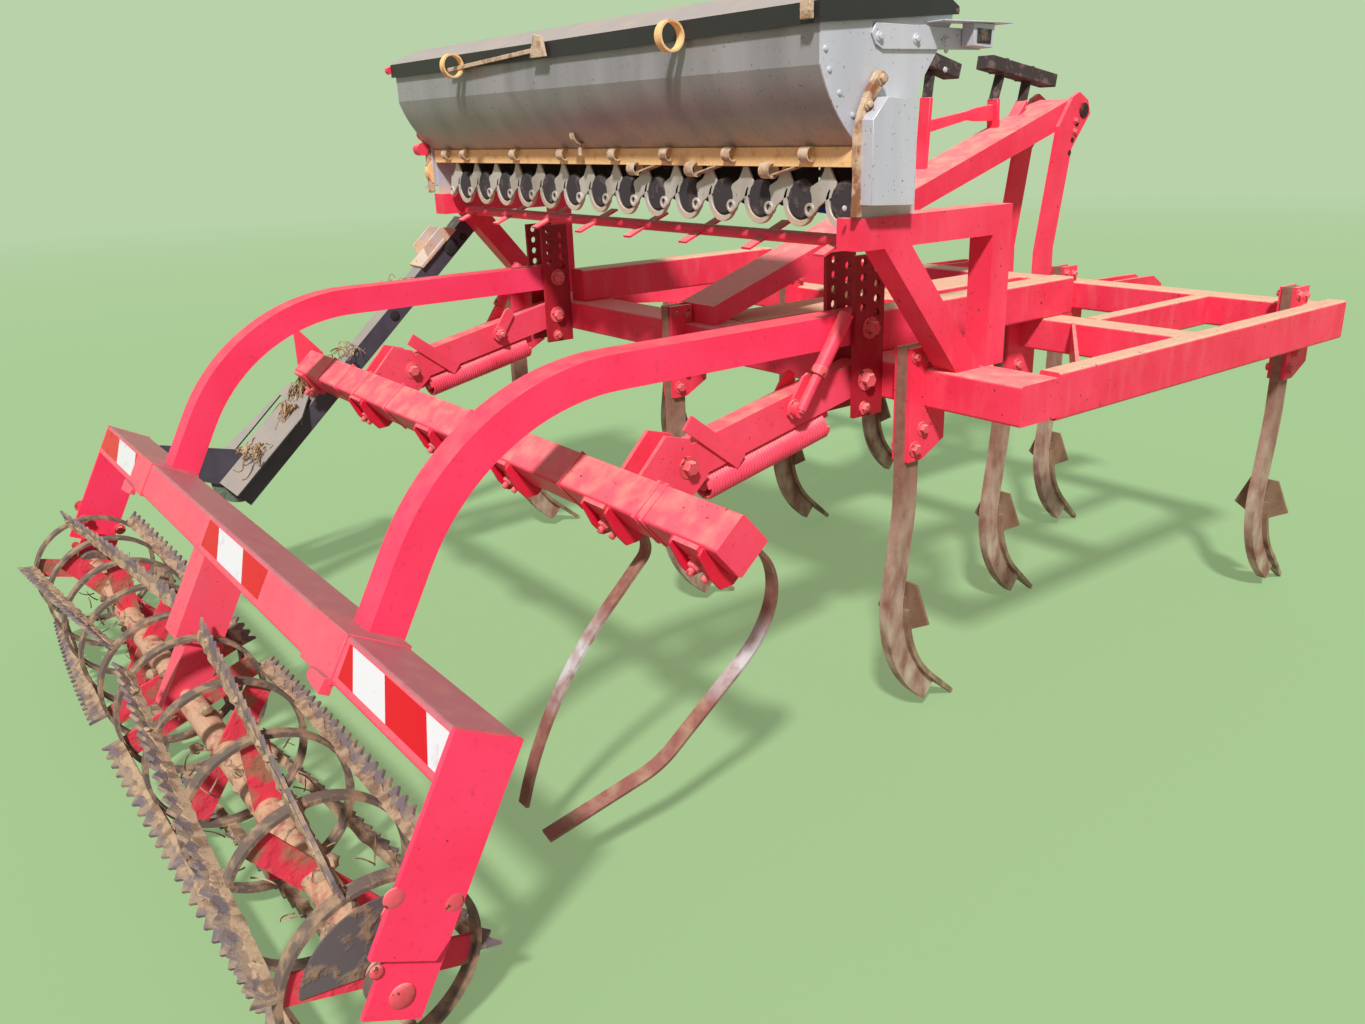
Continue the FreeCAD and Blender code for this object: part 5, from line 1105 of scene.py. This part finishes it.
brackets, rusty, dark_box, rivets = Surfaces(), Surfaces(), Surfaces(), Surfaces()
for side in SIDES:
    outward_plate(brackets, BRACKET_ARM, 0.005, END_FACE, side, (0, 1.772))
    outward_plate(brackets, END_COVER, 0.050, END_FACE, side)
    outward_plate(brackets, SHELF, 0.05, END_FACE, side, (0, 1.795))
    outward_plate(brackets, SMALL_BOX, 0.034, END_FACE + 0.006, side)
    outward_plate(dark_box, BOX_WINDOW, 0.0015, END_FACE + 0.0405, side)
    strap = side * (END_FACE + 0.012)
    sweep(rusty, [(strap, y, z) for y, z in STRAP_PATH], oblong(0.022, 0.014), up=RIGHT,
          scale=(1.0, 0.8, 1.0, 0.8, 1.1, 1.3))
    for y, z, across in ((-0.336, 1.682, 0.018), (-0.374, 1.630, 0.015)):
        hex_bolt(rusty, (strap + side * 0.008, y, z), RIGHT * side, across)
    for y, z in ((-0.33, 1.765), (-0.215, 1.762), (-0.12, 1.76)):
        hex_bolt(brackets, (side * (END_FACE + 0.005), y, z), RIGHT * side, 0.013)
    for y, z in RIVETS:
        lathe(rivets, (side * RIVET_FACE, y, z), RIGHT * side, RIVET_PROFILE, 10)
make("hopper_end_brackets", brackets, END_GREY, "frame", bevel=0.0015)
RUST_TAN = dusty_finish("RustTan", (142, 92, 62), (206, 178, 146), 0.55, lump=0.002)
make("hopper_end_rusty", rusty, RUST_TAN, "frame", bevel=0.001)
make("hopper_end_boxes", dark_box, BLACK_STEEL, "frame", bevel=0.001)
make("hopper_rivets", rivets, END_GREY, "frame")

# %% [markdown]
# ## Strips on the lid
# A tan strip slants along the lid's rear edge, with a joint plate at its end and one more at the
# lid's corner. All three ride on the lid.

# %% Lid strips
# Each strip: its outline, its thickness, and where it stands behind the lid.
LID_STRIPS = (
    (((-0.60, 0.0), (-0.06, 0.022), (-0.06, 0.034), (-0.60, 0.012)), 0.006, (0, -0.512, 1.782)),
    (((-0.075, 0.0), (0.005, 0.0), (-0.01, 0.052), (-0.05, 0.060)), 0.010, (0, -0.514, 1.79)),
    (((1.02, 0.0), (1.05, 0.0), (1.05, 0.036), (1.02, 0.036)), 0.012, (0, -0.514, 1.795)),
)
lid_trim = Surfaces()
for outline, thickness, place in LID_STRIPS:
    plate(lid_trim, outline, thickness, place, RIGHT, UP)
make("lid_trim", lid_trim, CLIP_TAN, "hopper_lid", bevel=0.0012)

# %% [markdown]
# ## Drive to the seed box: chain
# A long cover brings the roller's turn up to the seed box, and its chain shows in the slot. Places
# on it are given along the cover and out of its rear face. A link is a short flat strip on either
# side, set closer on every second one.

# %% Drive chain
DRIVE_X = -1.140
DRIVE_LOW, DRIVE_TOP = np.array((-1.218, 0.397)), np.array((-0.240, 1.2775))
DRIVE_WAY = unit(DRIVE_TOP - DRIVE_LOW)
DRIVE_ALONG = np.array((0, DRIVE_WAY[0], DRIVE_WAY[1]))
DRIVE_OUT = np.array((0, -DRIVE_WAY[1], DRIVE_WAY[0]))
CHAIN_START, CHAIN_END, CHAIN_PITCH, CHAIN_RISE = 0.53, 1.13, 0.0254, 0.022


def on_drive(x, along, rise):
    """Point on the drive: x, along it from its low end, and out of its rear face."""
    return np.array((x, *DRIVE_LOW)) + along * DRIVE_ALONG + rise * DRIVE_OUT


chain = Surfaces()
for index, along in enumerate(np.arange(CHAIN_START, CHAIN_END, CHAIN_PITCH)):
    width = 0.0045 if index % 2 else 0.0075
    for shift in (-width, width):
        start = on_drive(DRIVE_X + shift, along - 0.004, CHAIN_RISE)
        end = on_drive(DRIVE_X + shift, along + 0.029, CHAIN_RISE)
        sweep(chain, [start, (start + end) / 2, end], oblong(0.0016, 0.011), up=DRIVE_OUT)
BLACK_CHAIN = worn_steel("BlackChain", (120, 112, 104), (44, 38, 36), 0.4, 1.4, 0.5)
make("drive_chain", chain, BLACK_CHAIN, "roller_frame")

# %% [markdown]
# ## Hood, bosses and low disc of the drive
# The hood is a back plate with a cheek on either side. Bosses and bolts mark where shafts pass
# through the cover, and a grey-green disc closes its foot.

# %% Hood, bosses and low disc of the drive
HOOD_BACK = ((-0.052, 0.0), (0.052, 0.0), (0.052, 0.012), (-0.052, 0.012))
HOOD_CHEEK = ((0.0, 0.0), (0.16, 0.0), (0.12, 0.055), (0.02, 0.055))
hood = Surfaces()
plate(hood, HOOD_BACK, 0.14, on_drive(DRIVE_X, 1.13, 0.033), RIGHT, DRIVE_OUT, start=-0.07)
for shift in (-0.048, 0.044):
    plate(hood, HOOD_CHEEK, 0.004, on_drive(DRIVE_X + shift, 1.10, 0.028), DRIVE_ALONG, DRIVE_OUT)
make("drive_hood", hood, END_GREY, "roller_frame", bevel=0.0012)

bosses = Surfaces()
lathe(bosses, on_drive(DRIVE_X + 0.03, 0.86, 0.0), RIGHT,
      [(0.018, 0.0), (0.018, 0.012), (0.010, 0.014)], 14)
lathe(bosses, on_drive(DRIVE_X + 0.03, 1.20, 0.0), RIGHT,
      [(0.030, 0.0), (0.030, 0.014), (0.012, 0.020)], 16)
for along in (0.62, 0.98, 1.26):
    hex_bolt(bosses, on_drive(DRIVE_X + 0.038, along, -0.012), RIGHT, 0.016)
make("drive_bosses", bosses, BLACK_STEEL, "roller_frame")

low_disc = Surfaces()
lathe(low_disc, (DRIVE_X - 0.06, -1.20, 0.46), RIGHT, [(0.095, 0.0), (0.095, 0.01), (0.03, 0.014)], 28)
DISC_GREY_GREEN = dusty_finish("DiscGreyGreen", (110, 130, 112), (128, 120, 96), 0.35)
make("drive_low_disc", low_disc, DISC_GREY_GREEN, "roller_frame")

# %% [markdown]
# ## Straw on the drive
# Dry straw and clay have caught on the cover. The straw is many thin bent stems with a three-sided
# section, each a short smooth curve, so it stays light.

# %% Straw on the drive
# Each tangle: its place on the drive, its spread, how far it hangs, its stems and their radius.
TANGLES = (
    ((-1.150, 0.455, 0.085), (0.016, 0.014, 0.012), 0.13, 90, 0.0030),
    ((-1.130, 0.36, 0.085), (0.012, 0.012, 0.010), 0.11, 40, 0.0028),
    ((-1.10, 0.17, 0.085), (0.024, 0.020, 0.014), 0.04, 46, 0.0030),
    ((-1.12, 0.66, 0.045), (0.022, 0.030, 0.012), 0.03, 40, 0.0022),
    ((-1.10, 0.98, 0.050), (0.010, 0.05, 0.010), 0.02, 20, 0.0022),
)


def stem(surfaces, start, reach, sag, radius, steps=7):
    """A thin stem: start plus share times reach, with a bow of sag and a kink of its own."""
    share = np.linspace(0, 1, steps)[:, None]
    kink = draw.normal(0, (0.08, 0.2, 0.2)) * np.linalg.norm(reach)
    path = start + share * reach + (share * (1 - share)) * 2 * (np.asarray(sag) + kink)
    sweep(surfaces, path, circle(radius, 3), up=(0.3, 0.2, 1.0), scale=np.linspace(1.0, 0.5, steps))


def tangle(surfaces, middle, spread, hang, count, radius):
    """Many stems that start near one place and hang down from it."""
    for _ in range(count):
        start = np.asarray(middle) + draw.normal(0, 1, 3) * spread
        reach = np.array((draw.normal(-0.008, 0.010), draw.normal(-0.01, 0.02),
                          -hang * draw.uniform(0.2, 1.0)))
        stem(surfaces, start, reach, (0, 0, draw.normal(0, 0.02)), radius * draw.uniform(0.6, 1.5))


straw = Surfaces()
for place, spread, hang, count, radius in TANGLES:
    tangle(straw, on_drive(*place), spread, hang, count, radius)
STRAW_TAN = dusty_finish("StrawTan", (122, 92, 64), (196, 168, 128), 0.65)
make("straw_on_drive", straw, STRAW_TAN, "roller_frame")

# %% [markdown]
# ## Clay and roots in the cage
# Clay dries at the feet of the bars and round the shaft. A small lump is a ball of rings whose
# points are pushed in and out at random; dry roots hang through the cage.

# %% Clay lumps and roots
BAR_LUMPS, SHAFT_LUMPS, ROOTS = 150, 46, 34


def clump(surfaces, place, size, sides=7, rings=5):
    """A closed lump: rings of a ball, each point pushed by its own random share."""
    polar = np.linspace(0.25, math.pi - 0.25, rings)
    angle = np.arange(sides) * 2 * np.pi / sides
    radius = size * draw.uniform(0.75, 1.25, (rings, sides))
    x = radius * np.sin(polar)[:, None] * np.cos(angle)
    y = radius * np.sin(polar)[:, None] * np.sin(angle)
    z = radius * 0.8 * np.cos(polar)[:, None] * np.ones(sides)
    surfaces.loft(np.asarray(place) + np.stack([x, y, z], axis=-1))


for name, start, end, side in CAGES:
    clay = Surfaces()
    for _ in range(BAR_LUMPS):
        share = draw.uniform(0, 1)
        bar_angle = math.radians(60 * draw.integers(BAR_COUNT)) + (share - 0.5) * CAGE_TWIST * side
        spot = round_axis(start + share * (end - start), bar_angle, draw.uniform(0.186, 0.206))
        clump(clay, spot, draw.uniform(0.006, 0.013))
    for _ in range(SHAFT_LUMPS):
        spot = (draw.uniform(start, end), AXIS_Y + draw.normal(0, 0.02), AXIS_Z + draw.normal(0, 0.02))
        clump(clay, spot, draw.uniform(0.010, 0.020))
    for _ in range(ROOTS):
        root_angle = draw.uniform(0, 2 * np.pi)
        begin = round_axis(draw.uniform(start + 0.1, end - 0.2), root_angle, 0.10)
        reach = (draw.normal(0, 0.06), draw.uniform(-0.05, 0.05), draw.uniform(-0.05, 0.05))
        stem(clay, begin, np.array(reach), (0, 0, 0), 0.0024)
    make(f"clay_{name}", clay, CLAY_TAN, f"roller_{name}")

# %% [markdown]
# ## Rack on the headstock brace
# Three red posts stand on the brace and carry dark steel caps: a short one behind the seed box and
# a long box tube with two bands near the mast. A flat red bar ties the posts together.

# %% Headstock rack
RACK_X = -0.056
# Each row below: where a piece starts and where it ends, as (y, z).
POSTS = (((1.090, 1.400), (1.106, 1.669)), ((1.498, 1.548), (1.490, 1.660)),
         ((1.612, 1.580), (1.668, 1.648)))
NECKS = (((1.106, 1.650), (1.122, 1.760)), ((1.488, 1.650), (1.520, 1.745)),
         ((1.664, 1.640), (1.688, 1.735)))
TUBES = (((1.075, 1.800), (1.245, 1.755), 0.052), ((1.425, 1.790), (1.830, 1.722), 0.048))
TUBE_BANDS = (((1.505, 1.777), (1.515, 1.775)), ((1.665, 1.750), (1.675, 1.748)))


def in_rack(*pairs):
    """Points over the brace from (y, z) pairs."""
    return np.array([(RACK_X, y, z) for y, z in pairs])


posts, caps = Surfaces(), Surfaces()
for foot, top in POSTS:
    sweep(posts, in_rack(foot, top), oblong(0.050, 0.016), up=FRONT)
sweep(posts, in_rack((1.112, 1.568), (1.330, 1.602), (1.390, 1.606), (1.480, 1.610)),
      oblong(0.016, 0.046), up=UP, scale=(0.9, 0.7, 1.1, 1.3))
for foot, top in NECKS:
    sweep(caps, in_rack(foot, top), oblong(0.040, 0.014), up=FRONT)
for start, end, depth in TUBES:
    sweep(caps, in_rack(start, end), oblong(0.075, depth), up=UP)
for start, end in TUBE_BANDS:
    sweep(caps, in_rack(start, end), oblong(0.080, 0.053), up=UP)
make("rack_posts", posts, FRAME_RED, "frame", bevel=0.0015)
RACK_DARK = dusty_finish("RackDark", (62, 50, 50), (112, 94, 90), 0.35)
make("rack_caps", caps, RACK_DARK, "frame", bevel=0.002)

# %% [markdown]
# ## Marks on the mast
# The mast's holes have worn, dark edges, and a ring lies round the upper link's bore. Each is a
# lathe that stands a millimetre or two proud of the plate.

# %% Mast marks
MAST_HOLES = ((1.813, 1.56), (1.790, 1.50), (1.777, 1.452))
mast_marks = Surfaces()
for side in SIDES:
    for y, z in MAST_HOLES:
        lathe(mast_marks, (side * 0.1003, y, z), RIGHT * side,
              [(0.010, 0.0), (0.010, 0.0015), (0.006, 0.002)], 14)
    lathe(mast_marks, (side * MAST_FACE, 1.85, 1.608), RIGHT * side,
          [(0.0145, 0.0), (0.028, 0.0), (0.028, 0.004), (0.0145, 0.006)], 18)
MARK_DARK = dusty_finish("MarkDark", (46, 16, 20), (120, 60, 44), 0.35)
make("mast_marks", mast_marks, MARK_DARK, "frame")

# %% [markdown]
# ## Small parts behind and beside the seed box
# At its left end sit the gears and levers that set the seed rate, with two red knobs and one more
# at the lid. A short blue hose lies behind the feed units. All are lathes or sweeps.

# %% Gears and levers at the left end
GEAR_X = -1.052
# Each gear: y, z, radius and depth.
GEARS = ((-0.36, 1.47, 0.050, 0.030), (-0.28, 1.43, 0.034, 0.036), (-0.30, 1.56, 0.040, 0.024))
seed_drive, red_drive = Surfaces(), Surfaces()
for y, z, radius, depth in GEARS:
    lathe(seed_drive, (GEAR_X, y, z), LEFT,
          [(radius, 0.0), (radius, depth), (radius * 0.5, depth + 0.008)], 18)
sweep(seed_drive, [(-1.075, -0.36, 1.52), (-1.085, -0.40, 1.585), (-1.080, -0.385, 1.63)],
      circle(0.012, 8))
sweep(seed_drive, [(-1.075, -0.28, 1.39), (-1.085, -0.30, 1.44), (-1.080, -0.36, 1.47)],
      oblong(0.012, 0.030))
for y, z in ((-0.40, 1.60), (-0.42, 1.55)):
    lathe(red_drive, (GEAR_X, y, z), LEFT, [(0.022, 0.0), (0.022, 0.04), (0.014, 0.046)], 14)
lathe(red_drive, (-1.058, -0.508, 1.812), LEFT, [(0.012, 0.0), (0.013, 0.02), (0.006, 0.028)], 12)
make("seed_drive", seed_drive, RAIL_DUST_PAINTED_LIGHT, "frame")
make("seed_drive_red", red_drive, FRAME_RED, "frame")

HOSE_PATH = ((0.62, -0.18, 1.40), (0.70, -0.18, 1.405), (0.78, -0.17, 1.40))
hose = Surfaces()
sweep(hose, HOSE_PATH, circle(0.022, 10))
BLUE_PLASTIC = dusty_finish("BluePlastic", (20, 62, 150), (96, 104, 130), 0.15)
make("blue_hose", hose, BLUE_PLASTIC, "frame")
